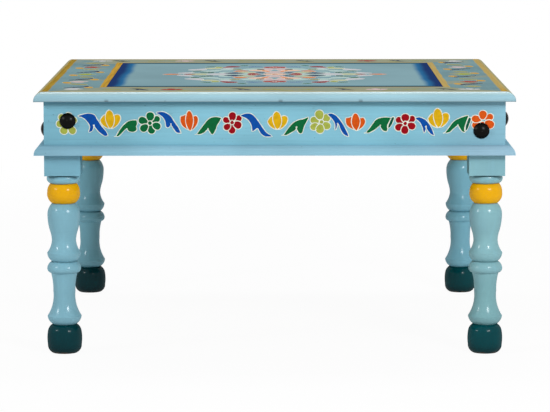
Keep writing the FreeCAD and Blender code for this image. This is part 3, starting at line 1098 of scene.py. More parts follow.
class Leaf(Enum):
    """Outlines of the two-lobed leaves, five that arch over and five that rise, and of a sliver."""

    ARCH_WIDE = Outline(
        (
            (0.0, 0.90), (0.30, 1.0), (0.53, 0.95), (0.64, 0.74), (0.79, 0.43), (0.94, 0.18),
            (1.0, 0.02), (0.91, 0.0), (0.72, 0.18), (0.57, 0.43), (0.53, 0.49), (0.47, 0.24),
            (0.37, 0.17), (0.41, 0.43), (0.30, 0.69), (0.15, 0.85),
        ),
        frozenset({0, 6, 10, 12}),
    )
    ARCH_ROUND = Outline(
        (
            (0.0, 0.975), (0.28, 1.0), (0.56, 0.81), (0.75, 0.49), (0.91, 0.22), (1.0, 0.0),
            (0.84, 0.03), (0.70, 0.25), (0.60, 0.46), (0.54, 0.33), (0.47, 0.27), (0.40, 0.33),
            (0.375, 0.54), (0.28, 0.76), (0.14, 0.89),
        ),
        frozenset({0, 5, 8}),
    )
    ARCH_LONG = Outline(
        (
            (0.0, 0.92), (0.175, 1.0), (0.35, 0.97), (0.51, 0.75), (0.67, 0.43), (0.82, 0.15),
            (1.0, 0.0), (0.80, 0.0), (0.66, 0.14), (0.57, 0.35), (0.52, 0.38), (0.45, 0.29),
            (0.38, 0.23), (0.36, 0.48), (0.275, 0.70), (0.155, 0.83),
        ),
        frozenset({0, 6, 10, 12}),
    )
    ARCH_SLIM = Outline(
        (
            (0.0, 0.97), (0.155, 1.0), (0.40, 0.89), (0.64, 0.64), (0.85, 0.32), (0.97, 0.10),
            (1.0, 0.0), (0.79, 0.10), (0.64, 0.32), (0.545, 0.54), (0.455, 0.59), (0.425, 0.43),
            (0.365, 0.29), (0.365, 0.54), (0.245, 0.75), (0.095, 0.89),
        ),
        frozenset({0, 6, 10, 12}),
    )
    ARCH_SHORT = Outline(
        (
            (0.0, 0.97), (0.21, 1.0), (0.51, 0.87), (0.70, 0.66), (0.88, 0.34), (1.0, 0.0),
            (0.785, 0.155), (0.635, 0.38), (0.565, 0.53), (0.515, 0.28), (0.47, 0.155),
            (0.39, 0.47), (0.27, 0.72), (0.12, 0.87),
        ),
        frozenset({0, 5, 8, 10}),
    )
    RISE_ROUND = Outline(
        (
            (0.0, 0.0), (0.16, 0.36), (0.37, 0.71), (0.59, 0.93), (0.81, 1.0), (0.97, 1.0),
            (1.0, 0.79), (0.945, 0.64), (0.97, 0.43), (0.915, 0.325), (0.75, 0.285),
            (0.59, 0.36), (0.52, 0.53), (0.40, 0.43), (0.27, 0.25), (0.11, 0.04),
        ),
        frozenset({0, 5, 12}),
    )
    RISE_POINTED = Outline(
        (
            (0.0, 0.0), (0.15, 0.29), (0.305, 0.58), (0.46, 0.84), (0.61, 0.965), (0.82, 1.0),
            (1.0, 0.945), (0.92, 0.73), (0.82, 0.51), (0.77, 0.29), (0.69, 0.07), (0.62, 0.0),
            (0.54, 0.145), (0.46, 0.36), (0.385, 0.25), (0.28, 0.11), (0.13, 0.01),
        ),
        frozenset({0, 6, 13}),
    )
    RISE_STEEP = Outline(
        (
            (0.0, 0.0), (0.12, 0.23), (0.25, 0.48), (0.40, 0.69), (0.60, 0.83), (0.80, 0.895),
            (1.0, 1.0), (0.925, 0.79), (0.83, 0.55), (0.78, 0.33), (0.73, 0.12), (0.63, 0.12),
            (0.55, 0.30), (0.515, 0.48), (0.45, 0.30), (0.30, 0.16), (0.12, 0.02),
        ),
        frozenset({0, 6, 13}),
    )
    RISE_FLAT = Outline(
        (
            (0.0, 0.0), (0.15, 0.30), (0.28, 0.59), (0.41, 0.85), (0.585, 0.965), (0.80, 1.0),
            (1.0, 0.965), (0.93, 0.74), (0.865, 0.445), (0.845, 0.15), (0.76, 0.115),
            (0.67, 0.19), (0.61, 0.37), (0.585, 0.52), (0.50, 0.445), (0.37, 0.26), (0.15, 0.04),
        ),
        frozenset({0, 6, 13}),
    )
    SLIVER = Outline(
        (
            (0.0, 0.0), (0.05, 0.22), (0.38, 0.62), (0.62, 0.90), (0.84, 1.0), (1.0, 0.95),
            (0.78, 0.58), (0.45, 0.20), (0.20, 0.02),
        ),
        frozenset({0, 5}),
    )
    RISE_TALL = Outline(
        (
            (0.0, 0.0), (0.14, 0.24), (0.28, 0.50), (0.42, 0.70), (0.61, 0.83), (0.79, 0.93),
            (1.0, 1.0), (0.93, 0.73), (0.86, 0.40), (0.85, 0.04), (0.745, 0.10), (0.63, 0.33),
            (0.56, 0.50), (0.47, 0.40), (0.33, 0.24), (0.165, 0.04),
        ),
        frozenset({0, 6, 9, 12}),
    )


class BudForm(Enum):
    """Petals of a bud, from the back to the front: left, right and middle."""

    FULL = (
        Outline(
            ((0.25, 0.75), (0.14, 0.69), (0.03, 0.53), (0.0, 0.44), (0.08, 0.25), (0.25, 0.09),
             (0.47, 0.01), (0.42, 0.35)),
            frozenset({0, 6}),
        ),
        Outline(
            ((0.67, 0.69), (0.81, 0.76), (0.94, 0.72), (0.99, 0.56), (0.92, 0.34), (0.75, 0.125),
             (0.56, 0.01), (0.60, 0.35)),
            frozenset({0, 6}),
        ),
        Outline(
            ((0.445, 1.0), (0.575, 0.89), (0.65, 0.66), (0.665, 0.42), (0.61, 0.18), (0.52, 0.04),
             (0.43, 0.07), (0.33, 0.30), (0.265, 0.58), (0.29, 0.83), (0.35, 0.95)),
        ),
    )
    POINTED = (
        Outline(
            ((0.345, 0.77), (0.155, 0.74), (0.02, 0.71), (0.03, 0.46), (0.155, 0.23),
             (0.41, 0.085), (0.56, 0.01), (0.50, 0.35)),
            frozenset({2, 6}),
        ),
        Outline(
            ((0.69, 0.74), (0.78, 0.71), (0.905, 0.74), (0.99, 0.57), (0.94, 0.34), (0.78, 0.14),
             (0.58, 0.01), (0.62, 0.35)),
            frozenset({0, 6}),
        ),
        Outline(
            ((0.50, 1.0), (0.60, 0.93), (0.68, 0.74), (0.715, 0.50), (0.665, 0.23), (0.56, 0.0),
             (0.42, 0.17), (0.33, 0.46), (0.35, 0.74), (0.41, 0.93)),
            frozenset({5}),
        ),
    )


class Petal(Enum):
    """Single petals about their own middle, a unit long along U and a unit wide."""

    POINTED = Outline(
        ((-0.5, 0.0), (-0.25, 0.36), (0.05, 0.5), (0.32, 0.32), (0.5, 0.0), (0.32, -0.32),
         (0.05, -0.5), (-0.25, -0.36)),
        frozenset({0, 4}),
    )
    DROP = Outline(
        ((-0.5, 0.0), (-0.12, 0.24), (0.18, 0.48), (0.42, 0.36), (0.5, 0.0), (0.42, -0.36),
         (0.18, -0.48), (-0.12, -0.24)),
        frozenset({0}),
    )
    ROUND = Outline(
        ((-0.5, 0.0), (-0.36, 0.35), (0.0, 0.5), (0.36, 0.35), (0.5, 0.0), (0.36, -0.35),
         (0.0, -0.5), (-0.36, -0.35)),
    )
    CRESCENT = Outline(
        ((-0.5, -0.42), (-0.33, 0.12), (-0.05, 0.46), (0.25, 0.40), (0.5, -0.15), (0.24, 0.02),
         (-0.02, 0.04), (-0.28, -0.18)),
        frozenset({0, 4}),
    )


@dataclass
class Patch:
    """An area of one paint inside a closed loop of a drawing."""

    loop: Loop
    paint: Paint
    layer: int = 1
    low: Point = field(init=False)
    high: Point = field(init=False)

    def __post_init__(self) -> None:
        """Notes how far the loop reaches."""
        us, vs = zip(*self.loop)
        self.low, self.high = (min(us), min(vs)), (max(us), max(vs))

    def covers(self, spot: Point) -> bool:
        """Tells whether a point lies inside the loop."""
        near = all(low < at < high for low, at, high in zip(self.low, spot, self.high))
        return near and encloses(self.loop, spot)


@dataclass
class BeadTree:
    """Geometry tree that lays a raised bead of paint along every edge of a flat drawing."""

    sides: int = 6
    swell_waves: float = 150.0
    swell_levels: Span = (0.3, 0.7)
    swell: Span = (0.72, 1.28)

    def __post_init__(self) -> None:
        """Builds the tree with its named inputs."""
        graph = Graph(bpy.data.node_groups.new("paint_bead", "GeometryNodeTree"))
        self.tree = graph.tree
        self._socket("Geometry", "Geometry")
        self.width = self._socket("Bead Width", "Float")
        self.height = self._socket("Bead Height", "Float")
        self.paint = self._socket("Paint", "Material")
        self._socket("Geometry", "Geometry", "OUTPUT")
        enter = graph.node("NodeGroupInput").outputs
        curve = self._step(graph, "GeometryNodeMeshToCurve", {"Mesh": enter["Geometry"]})
        level = self._step(graph, "GeometryNodeSetCurveNormal", {"Curve": curve}, {"mode": "Z_UP"})
        circle = self._step(
            graph, "GeometryNodeCurvePrimitiveCircle", {"Resolution": self.sides, "Radius": 0.5}
        )
        wide = {"X": enter["Bead Width"], "Y": enter["Bead Height"], "Z": 1.0}
        scale = self._step(graph, "ShaderNodeCombineXYZ", wide)
        section = self._step(graph, "GeometryNodeTransform", {"Geometry": circle, "Scale": scale})
        waver = self._step(graph, "ShaderNodeTexNoise", {"Scale": self.swell_waves, "Detail": 1.0})
        swell: Inputs = {
            "Value": waver,
            "From Min": self.swell_levels[0],
            "From Max": self.swell_levels[1],
            "To Min": self.swell[0],
            "To Max": self.swell[1],
        }
        profile: Inputs = {
            "Curve": level,
            "Profile Curve": section,
            "Scale": self._step(graph, "ShaderNodeMapRange", swell),
            "Fill Caps": True,
        }
        bead = self._step(graph, "GeometryNodeCurveToMesh", profile)
        smooth = self._step(graph, "GeometryNodeSetShadeSmooth", {"Geometry": bead})
        real = self._step(graph, "GeometryNodeRealizeInstances", {"Geometry": smooth})
        paint = {"Geometry": real, "Material": enter["Paint"]}
        painted = self._step(graph, "GeometryNodeSetMaterial", paint)
        graph.node("NodeGroupOutput", inputs={"Geometry": painted})

    def _socket(self, name: str, kind: str, way: str = "INPUT") -> bpy.types.NodeTreeInterfaceSocket:
        """Adds a socket to the tree's own inputs or outputs."""
        return self.tree.interface.new_socket(name, in_out=way, socket_type="NodeSocket" + kind)

    def _step(
        self, graph: Graph, kind: str, inputs: Inputs, settings: Optional[dict[str, Any]] = None
    ) -> bpy.types.NodeSocket:
        """Adds a node and returns its first output."""
        return graph.node(kind, settings, inputs).outputs[0]

    def laid(
        self, name: str, lines: bpy.types.Mesh, width: float, height: float, paint: bpy.types.Material
    ) -> bpy.types.Mesh:
        """The beads along a mesh of edges, as a plain mesh.

        Args:
            name: The new mesh's name.
            lines: Flat mesh whose edges the beads follow.
            width: Bead width.
            height: Bead height, half of it above the edges.
            paint: The beads' material.

        Returns:
            The new mesh.
        """
        carrier = bpy.data.objects.new(name, lines)
        bpy.context.scene.collection.objects.link(carrier)
        modifier = carrier.modifiers.new("bead", "NODES")
        modifier.node_group = self.tree
        modifier[self.width.identifier] = width
        modifier[self.height.identifier] = height
        modifier[self.paint.identifier] = paint
        graph = bpy.context.evaluated_depsgraph_get()
        mesh = bpy.data.meshes.new_from_object(carrier.evaluated_get(graph), depsgraph=graph)
        mesh.name = name
        bpy.data.objects.remove(carrier)
        return mesh


@dataclass
class Drawing:
    """A painted drawing in its own flat plane, in millimetres: U to the right and V up."""

    name: str
    slot: str
    fill_height_mm: float = 0.06
    layer_height_mm: float = 0.04
    bead_width_mm: float = 1.05
    bead_height_mm: float = 0.32
    bead_outside_share: float = 0.45
    grow_mm: float = 0.35
    inwards_mm: float = 1.8
    sunk_mm: float = 0.05
    line_paint: Paint = Paint.CREAM
    patches: list[Patch] = field(default_factory=list)
    strokes: list[Loop] = field(default_factory=list)

    def fill(self, loop: Loop, paint: Paint, layer: int = 1) -> None:
        """Adds a patch of paint, a little fuller than its loop."""
        self.patches.append(Patch(widened(loop, self.grow_mm), paint, layer))

    def boxed(self, outline: Outline, box: "Box", paint: Paint, layer: int) -> None:
        """Adds a unit outline stretched to a box."""
        self.fill([box.at(u, v) for u, v in outline.loop()], paint, layer)

    def turned(
        self, outline: Outline, middle: Point, size: Point, degrees: float, paint: Paint, layer: int
    ) -> None:
        """Adds a petal about its middle.

        Args:
            outline: Unit outline about its own middle.
            middle: Where its middle lies.
            size: Its length and its width; a negative width mirrors it.
            degrees: How far its length is turned from U.
            paint: Its paint.
            layer: Its layer.
        """
        spots = [(u * size[0], v * size[1]) for u, v in outline.loop(PETAL_STEPS)]
        self.fill(moved(spots, middle, degrees), paint, layer)

    def flower(self, bloom: "Bloom", paint: Paint, heart: Paint) -> None:
        """Adds a round flower with its heart.

        Args:
            bloom: The flower's petals and the size of its heart.
            paint: The petals' paint.
            heart: The heart's paint.
        """
        for lobe in bloom.lobes:
            away = math.hypot(lobe.right, lobe.up)
            nearer = 1.0 - self.inwards_mm / 2 / away
            spot = (bloom.middle[0] + lobe.right * nearer, bloom.middle[1] + lobe.up * nearer)
            angle = math.degrees(math.atan2(lobe.up, lobe.right))
            share = abs(lobe.right) / away
            length = lobe.wide * share + lobe.high * (1 - share) + self.inwards_mm
            width = lobe.high * share + lobe.wide * (1 - share)
            self.fill(oval(spot, (length, width), angle, narrowed=PETAL_NARROWED), paint, lobe.layer)
        if bloom.heart:
            size = (bloom.heart, bloom.heart)
            self.fill(oval(bloom.middle, size, 0.0, HEART_POINTS), heart, HEART_LAYER)

    def bud(self, form: BudForm, box: "Box", paint: Paint) -> None:
        """Adds a bud of three petals, the middle one in front."""
        for outline, layer in zip(form.value, BUD_LAYERS):
            self.boxed(outline, box, paint, layer)

    def _level(self, layer: int) -> float:
        """Height of a layer's patches above the board, in metres."""
        return (self.fill_height_mm + self.layer_height_mm * layer) * MM

    def _fills(self, paints: "Palette") -> bpy.types.Mesh:
        """The patches as thin closed plates.

        Args:
            paints: The ornament's materials.

        Returns:
            The plates' mesh.
        """
        mesh = bpy.data.meshes.new(self.name + "_motifs")
        used = sorted({patch.paint for patch in self.patches}, key=lambda paint: paint.name)
        for paint in used:
            mesh.materials.append(paints[paint])
        plates = bmesh.new()
        for patch in self.patches:
            height = self._level(patch.layer)
            top = [plates.verts.new((u * MM, v * MM, height)) for u, v in patch.loop]
            foot = [plates.verts.new((u * MM, v * MM, -self.sunk_mm * MM)) for u, v in patch.loop]
            faces = [plates.faces.new(top), plates.faces.new(foot[::-1])]
            for index, corner in enumerate(top):
                near, far = foot[index - 1], foot[index]
                faces.append(plates.faces.new((top[index - 1], near, far, corner)))
            for face in faces:
                face.material_index = used.index(patch.paint)
        bmesh.ops.triangulate(plates, faces=[face for face in plates.faces if len(face.verts) > 4])
        bmesh.ops.recalc_face_normals(plates, faces=plates.faces)
        plates.to_mesh(mesh)
        plates.free()
        return mesh

    def _edges(self) -> bpy.types.Mesh:
        """The outlines and strokes as a mesh of edges, without what a higher patch covers.

        Returns:
            The mesh, which has no faces.
        """
        mesh = bpy.data.meshes.new(self.name + "_edges")
        verts: list[Triple] = []
        edges: list[tuple[int, int]] = []
        for patch in self.patches:
            line = widened(patch.loop, self.bead_width_mm * self.bead_outside_share)
            first, count = len(verts), len(line)
            height = self._level(patch.layer)
            verts += [(u * MM, v * MM, height) for u, v in line]
            above = [other for other in self.patches if other.layer > patch.layer]
            for index in range(count):
                after = (index + 1) % count
                middle = ((line[index][0] + line[after][0]) / 2, (line[index][1] + line[after][1]) / 2)
                if not any(other.covers(middle) for other in above):
                    edges.append((first + index, first + after))
        for stroke in self.strokes:
            first = len(verts)
            verts += [(u * MM, v * MM, self._level(0)) for u, v in stroke]
            edges += [(first + i, first + i + 1) for i in range(len(stroke) - 1)]
        mesh.from_pydata(verts, edges, [])
        return mesh

    def build(self, place: Matrix, paints: "Palette", beads: BeadTree) -> list[bpy.types.Object]:
        """Builds the drawing's two pieces in their place.

        Args:
            place: Takes the drawing's plane to its place on the table.
            paints: The ornament's materials.
            beads: The tree that lays the outlines.

        Returns:
            The patches' object and the outlines' object.
        """
        fills = self._fills(paints)
        width, height = self.bead_width_mm * MM, self.bead_height_mm * MM
        lines = beads.laid(self.name + "_lines", self._edges(), width, height, paints[self.line_paint])
        pieces = []
        for mesh in (fills, lines):
            mesh.transform(place)
            piece = bpy.data.objects.new(mesh.name, mesh)
            bpy.context.scene.collection.objects.link(piece)
            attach(piece, "root")
            pieces.append(piece)
            LOG.info("%s: %d faces", piece.name, len(mesh.polygons))
        return pieces


def widened(loop: Loop, by: float) -> Loop:
    """Copy of a loop that is moved outwards.

    Args:
        loop: The loop, either way round.
        by: How far it moves.

    Returns:
        The wider loop.
    """
    count = len(loop)
    area = sum(loop[i - 1][0] * loop[i][1] - loop[i][0] * loop[i - 1][1] for i in range(count))
    outwards = math.copysign(by, area)
    wide = []
    for index in range(count):
        (u0, v0), (u1, v1) = loop[index - 1], loop[(index + 1) % count]
        length = math.hypot(u1 - u0, v1 - v0) or 1.0
        u, v = loop[index]
        wide.append((u + (v1 - v0) / length * outwards, v - (u1 - u0) / length * outwards))
    return wide


def encloses(loop: Loop, spot: Point) -> bool:
    """Tells whether a loop goes round a point.

    Args:
        loop: The loop.
        spot: The point.

    Returns:
        True inside the loop.
    """
    inside = False
    for index, (u, v) in enumerate(loop):
        u0, v0 = loop[index - 1]
        if (v > spot[1]) != (v0 > spot[1]) and spot[0] < u + (u0 - u) * (spot[1] - v) / (v0 - v):
            inside = not inside
    return inside


def moved(loop: Loop, middle: Point, degrees: float) -> Loop:
    """Copy of a loop that is turned about the origin and then moved.

    Args:
        loop: The loop.
        middle: Where its origin goes.
        degrees: How far it is turned.

    Returns:
        The new loop.
    """
    cos, sin = math.cos(math.radians(degrees)), math.sin(math.radians(degrees))
    return [
        (middle[0] + along * cos - across * sin, middle[1] + along * sin + across * cos)
        for along, across in loop
    ]


def oval(middle: Point, size: Point, degrees: float, count: int = 20, narrowed: float = 0.0) -> Loop:
    """Loop of an oval, or of an egg whose narrow end points back from where it is turned to.

    Args:
        middle: Its middle.
        size: Its length and width.
        degrees: How far its length is turned from U.
        count: How many points it has.
        narrowed: How much narrower its near end is, as a share.

    Returns:
        The loop.
    """
    loop = []
    for index in range(count):
        angle = index * math.tau / count
        wide = 1.0 + narrowed * math.cos(angle)
        loop.append((size[0] / 2 * math.cos(angle), size[1] / 2 * math.sin(angle) * wide))
    return moved(loop, middle, degrees)


@dataclass(frozen=True)
class Box:
    """Box of a motif in millimetres."""

    left: float
    right: float
    low: float
    high: float

    def at(self, u: float, v: float) -> Point:
        """Place of a unit point in the box."""
        return (self.left + (self.right - self.left) * u, self.low + (self.high - self.low) * v)

    def scaled(self, scale: float, shift: Point) -> "Box":
        """Copy that is scaled about the drawing's origin and then shifted."""
        left, right = (u * scale + shift[0] for u in (self.left, self.right))
        return Box(left, right, *(v * scale + shift[1] for v in (self.low, self.high)))


@dataclass(frozen=True)
class Lobe:
    """Rounded petal of a flower: where it lies from the heart, and its width and height."""

    right: float
    up: float
    wide: float
    high: float
    layer: int = 1


@dataclass(frozen=True)
class Bloom:
    """A round flower in millimetres, petal by petal."""

    middle: Point
    lobes: tuple[Lobe, ...]
    heart: float = 4.2

    def moved(self, scale: float, shift: Point) -> "Bloom":
        """Copy that is scaled about the drawing's origin and then shifted.

        Args:
            scale: The scale.
            shift: How far it is moved after that.

        Returns:
            The new flower.
        """
        lobes = tuple(
            Lobe(lobe.right * scale, lobe.up * scale, lobe.wide * scale, lobe.high * scale, lobe.layer)
            for lobe in self.lobes
        )
        middle = (self.middle[0] * scale + shift[0], self.middle[1] * scale + shift[1])
        return Bloom(middle, lobes, self.heart * scale)


def ring_of_lobes(radius: float, count: int, start: float, layer: int) -> tuple[Lobe, ...]:
    """Even ring of petals, every other one in front of its neighbours.

    Args:
        radius: Radius of the flower.
        count: How many petals it has.
        start: Where the first one points, in degrees.
        layer: Layer of the hindmost petals.

    Returns:
        The petals.
    """
    reach, size = RING_REACH * radius, RING_PETAL * radius
    lobes = []
    for index in range(count):
        angle = math.radians(start + index * 360 / count)
        place = (reach * math.cos(angle), reach * math.sin(angle))
        lobes.append(Lobe(place[0], place[1], size, size, layer + index % 2))
    return tuple(lobes)


class Palette:
    """Ornament materials, made when they are first used."""

    def __init__(self, prefix: str, coat: float) -> None:
        """Starts an empty palette.

        Args:
            prefix: What the materials' names begin with.
            coat: How glossy the paints are.
        """
        self.prefix = prefix
        self.coat = coat
        self.materials: dict[Paint, bpy.types.Material] = {}

    def __getitem__(self, paint: Paint) -> bpy.types.Material:
        """The material of a paint.

        Args:
            paint: The paint.

        Returns:
            Its material, which is made now if it is new.
        """
        if paint not in self.materials:
            self.materials[paint] = OrnamentPaint(paint, self.prefix, self.coat).material()
        return self.materials[paint]


@dataclass(frozen=True)
class RowLeaf:
    """Leaf of a running row."""

    form: Leaf
    paint: Paint
    box: Box


@dataclass(frozen=True)
class RowBud:
    """Bud of a running row."""

    form: BudForm
    paint: Paint
    box: Box


@dataclass(frozen=True)
class RowFlower:
    """Flower of a running row."""

    bloom: Bloom
    paint: Paint


RowMotif = Union[RowLeaf, RowBud, RowFlower]


def dress_nodes(nodes: Iterable[str], material: bpy.types.Material) -> None:
    """Gives CAD nodes a material.

    Args:
        nodes: The nodes' names.
        material: What they get.
    """
    for name in nodes:
        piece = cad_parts[name]
        piece.data.materials.clear()
        piece.data.materials.append(material)
        LOG.info("%s: %s", name, material.name)


LOBES_BEHIND_HIGH_BOLT = (
    Lobe(-8.7, -1.1, 7.0, 7.4, 2),
    Lobe(-6.0, 7.0, 7.6, 7.0),
    Lobe(2.6, 9.0, 8.0, 6.6, 2),
    Lobe(-3.4, -9.7, 9.4, 6.8),
    Lobe(7.2, -9.4, 9.6, 6.6, 2),
    Lobe(9.0, 3.4, 7.0, 7.0),
)
LOBES_TILTED = (
    Lobe(0.5, 9.0, 9.2, 8.6, 2),
    Lobe(8.3, 4.9, 8.2, 6.8),
    Lobe(9.0, -3.9, 8.2, 8.0, 2),
    Lobe(2.0, -8.7, 8.0, 8.8),
    Lobe(-7.7, -6.4, 8.8, 8.0, 2),
    Lobe(-9.3, 3.3, 9.2, 8.2),
)
LOBES_UPRIGHT = (
    Lobe(0.4, 8.0, 8.2, 9.4, 3),
    Lobe(8.0, 5.0, 7.4, 7.0),
    Lobe(7.3, -3.2, 8.4, 8.4, 2),
    Lobe(-0.2, -9.2, 7.8, 9.0, 1),
    Lobe(-6.8, -5.8, 7.2, 6.8, 2),
    Lobe(-7.2, 3.0, 8.0, 6.6),
)
LOBES_LEANING = (
    Lobe(-2.6, 9.4, 9.2, 9.8, 3),
    Lobe(6.3, 4.9, 7.6, 9.0),
    Lobe(6.8, -5.0, 8.2, 8.2, 2),
    Lobe(-1.8, -9.4, 9.0, 9.0, 3),
    Lobe(-9.4, -6.2, 8.0, 7.4, 2),
    Lobe(-9.0, 2.0, 8.6, 7.6),
)
LOBES_WIDE = (
    Lobe(0.0, 7.5, 9.2, 8.2, 2),
    Lobe(8.4, 5.6, 7.2, 7.2),
    Lobe(8.3, -3.4, 8.2, 8.0, 2),
    Lobe(-0.6, -8.6, 8.2, 8.8, 3),
    Lobe(-8.4, -4.9, 8.4, 7.8, 2),
    Lobe(-7.8, 4.2, 7.6, 7.2),
)
LOBES_BEHIND_LOW_BOLT = (
    Lobe(0.8, 6.3, 8.8, 8.6, 3),
    Lobe(9.3, 2.9, 8.4, 7.0),
    Lobe(9.6, -6.4, 9.8, 9.4, 2),
    Lobe(-8.0, 0.5, 9.8, 8.0, 2),
    Lobe(-8.2, -7.0, 8.6, 7.6),
    Lobe(0.5, -9.0, 8.6, 8.0),
)


@dataclass
class Aprons:
    """Apron boards with their running row of flowers, and the mouldings at their foot."""

    blue: Colour = linear(127, 183, 201)
    moulding_blue: Colour = linear(140, 186, 205)
    # Level of the top's underside, just below which the boards get a painted shadow.
    painted_shadow_mm: float = 320.0
    jitter_mm: float = 1.4
    flourish_rising_mm: float = 3.4
    flourish_arched_mm: float = 1.4
    flourish_drop_mm: Span = (0.6, 0.7)
    seed: int = 11
    row: tuple[RowMotif, ...] = (
        RowFlower(Bloom((-259.5, 6.4), LOBES_BEHIND_HIGH_BOLT), Paint.LIME),
        RowLeaf(Leaf.ARCH_WIDE, Paint.BLUE, Box(-244.7, -208.7, -9.2, 17.7)),
        RowBud(BudForm.FULL, Paint.YELLOW, Box(-216.8, -192.3, -0.3, 21.8)),
        RowLeaf(Leaf.RISE_ROUND, Paint.GREEN, Box(-197.0, -171.8, -9.9, 9.4)),
        RowFlower(Bloom((-155.5, 6.2), LOBES_TILTED), Paint.GREEN),
        RowLeaf(Leaf.ARCH_ROUND, Paint.BLUE, Box(-146.9, -117.5, -5.8, 19.7)),
        RowBud(BudForm.POINTED, Paint.ORANGE, Box(-117.4, -95.7, -3.0, 21.1)),
        RowLeaf(Leaf.RISE_POINTED, Paint.GREEN, Box(-96.3, -67.0, -7.4, 13.4)),
        RowFlower(Bloom((-53.0, 6.9), LOBES_UPRIGHT), Paint.CRIMSON),
        RowLeaf(Leaf.ARCH_LONG, Paint.BLUE, Box(-42.2, -3.8, -10.2, 17.7)),
        RowBud(BudForm.FULL, Paint.YELLOW, Box(-8.1, 16.1, -1.6, 19.9)),
        RowLeaf(Leaf.RISE_STEEP, Paint.GREEN, Box(11.9, 41.9, -8.5, 13.0)),
        RowFlower(Bloom((58.3, 7.6), LOBES_LEANING), Paint.LIME),
        RowLeaf(Leaf.ARCH_SLIM, Paint.BLUE, Box(66.7, 91.6, -10.2, 17.7)),
        RowBud(BudForm.POINTED, Paint.ORANGE, Box(88.6, 112.7, -2.9, 17.7)),
        RowLeaf(Leaf.RISE_FLAT, Paint.GREEN, Box(114.6, 144.6, -5.8, 12.8)),
        RowLeaf(Leaf.SLIVER, Paint.DARK_GREEN, Box(141.4, 148.8, 0.6, 13.2)),
        RowFlower(Bloom((162.9, 5.6), LOBES_WIDE), Paint.CRIMSON),
        RowLeaf(Leaf.ARCH_SHORT, Paint.BLUE, Box(175.9, 198.4, -9.2, 12.8)),
        RowBud(BudForm.FULL, Paint.YELLOW, Box(191.8, 217.4, 0.5, 23.8)),
        RowLeaf(Leaf.RISE_TALL, Paint.GREEN, Box(213.3, 241.0, -5.8, 14.9)),
        RowLeaf(Leaf.SLIVER, Paint.DARK_GREEN, Box(237.6, 244.4, -3.0, 12.6)),
        RowFlower(Bloom((258.8, 10.6), LOBES_BEHIND_LOW_BOLT, 0.0), Paint.ORANGE),
    )

    def dress(self) -> None:
        """Paints the boards and mouldings."""
        for grain in (Axis.X, Axis.Y):
            sides = [side for side in Side if side.grain is grain]
            board = BoardPaint("apron_blue_" + grain.name.lower(), grain, self.blue, self.painted_shadow_mm)
            dress_nodes(["apron_" + side.label for side in sides], board.material())
            strip = BoardPaint("moulding_blue_" + grain.name.lower(), grain, self.moulding_blue)
            dress_nodes(["base_moulding_" + side.label for side in sides], strip.material())

    def ornament(self, paints: Palette, beads: BeadTree) -> None:
        """Paints the running row on all four boards.

        Args:
            paints: The aprons' ornament materials.
            beads: The tree that lays the outlines.
        """
        low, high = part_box("apron_front")
        upright = Matrix.Rotation(math.pi / 2, 4, "X")
        for side in Side:
            draw = random.Random(self.seed + side.value)
            drawing = Drawing("apron_" + side.label, "painted_apron")
            for motif in self.row:
                shift = self._shift(draw, side)
                add_motif(drawing, motif, next_paint(motif.paint, side.value), 1.0, shift)
            self._flourish(drawing)
            place = Matrix.Translation((0.0, low.y, (low.z + high.z) / 2)) @ upright
            drawing.build(side.turn @ place, paints, beads)

    def _shift(self, draw: random.Random, side: Side) -> Point:
        """How far a motif strays on the sides that are painted by the same rule as the front."""
        drawn = strayed(draw, self.jitter_mm)
        return (0.0, 0.0) if side is Side.FRONT else drawn

    def _flourish(self, drawing: Drawing) -> None:
        """Adds short trailing strokes at the leaves' tails.

        Args:
            drawing: The front's drawing or another side's.
        """
        for motif in self.row:
            if isinstance(motif, RowLeaf) and motif.form is not Leaf.SLIVER:
                rising = motif.form.name.startswith("RISE")
                tip, low = (motif.box.left if rising else motif.box.right), motif.box.low
                reach = -self.flourish_rising_mm if rising else self.flourish_arched_mm
                half, full = self.flourish_drop_mm
                drawing.strokes.append([(tip, low), (tip + reach / 2, low - half), (tip + reach, low - full)])


def strayed(draw: random.Random, by_mm: float) -> Point:
    """A random shift of at most so many millimetres each way."""
    return (draw.uniform(-1, 1) * by_mm, draw.uniform(-1, 1) * by_mm)


def next_paint(paint: Paint, steps: int) -> Paint:
    """The paint that takes a flower's or bud's place some sides further on.

    Args:
        paint: The front's paint.
        steps: How many sides further on.

    Returns:
        The paint for that side.
    """
    for cycle in (
        (Paint.LIME, Paint.CRIMSON, Paint.ORANGE, Paint.DARK_GREEN),
        (Paint.YELLOW, Paint.ORANGE),
    ):
        if paint in cycle:
            return cycle[(cycle.index(paint) + steps) % len(cycle)]
    return paint


def add_motif(drawing: Drawing, motif: RowMotif, paint: Paint, scale: float, shift: Point) -> None:
    """Adds one motif of a running row to a drawing.

    Args:
        drawing: Where it goes.
        motif: The motif.
        paint: Its paint.
        scale: Its scale about the drawing's origin.
        shift: How far it is moved after that.
    """
    if isinstance(motif, RowFlower):
        drawing.flower(motif.bloom.moved(scale, shift), paint, paint)
    elif isinstance(motif, RowBud):
        drawing.bud(motif.form, motif.box.scaled(scale, shift), paint)
    else:
        drawing.boxed(motif.form.value, motif.box.scaled(scale, shift), paint, LEAF_LAYER)


@dataclass(frozen=True)
class MedallionPetal:
    """One petal of the medallion in the quarter where X and Y are positive, in millimetres."""

    form: Petal
    middle: Point
    size: Point
    degrees: float
    paint: Paint
    layer: int = 1


@dataclass(frozen=True)
class MedallionBloom:
    """One flower of the medallion, with an even ring of petals."""

    middle: Point
    radius: float
    count: int
    start: float
    layer: int
    heart: float
    paint: Paint
    heart_paint: Paint


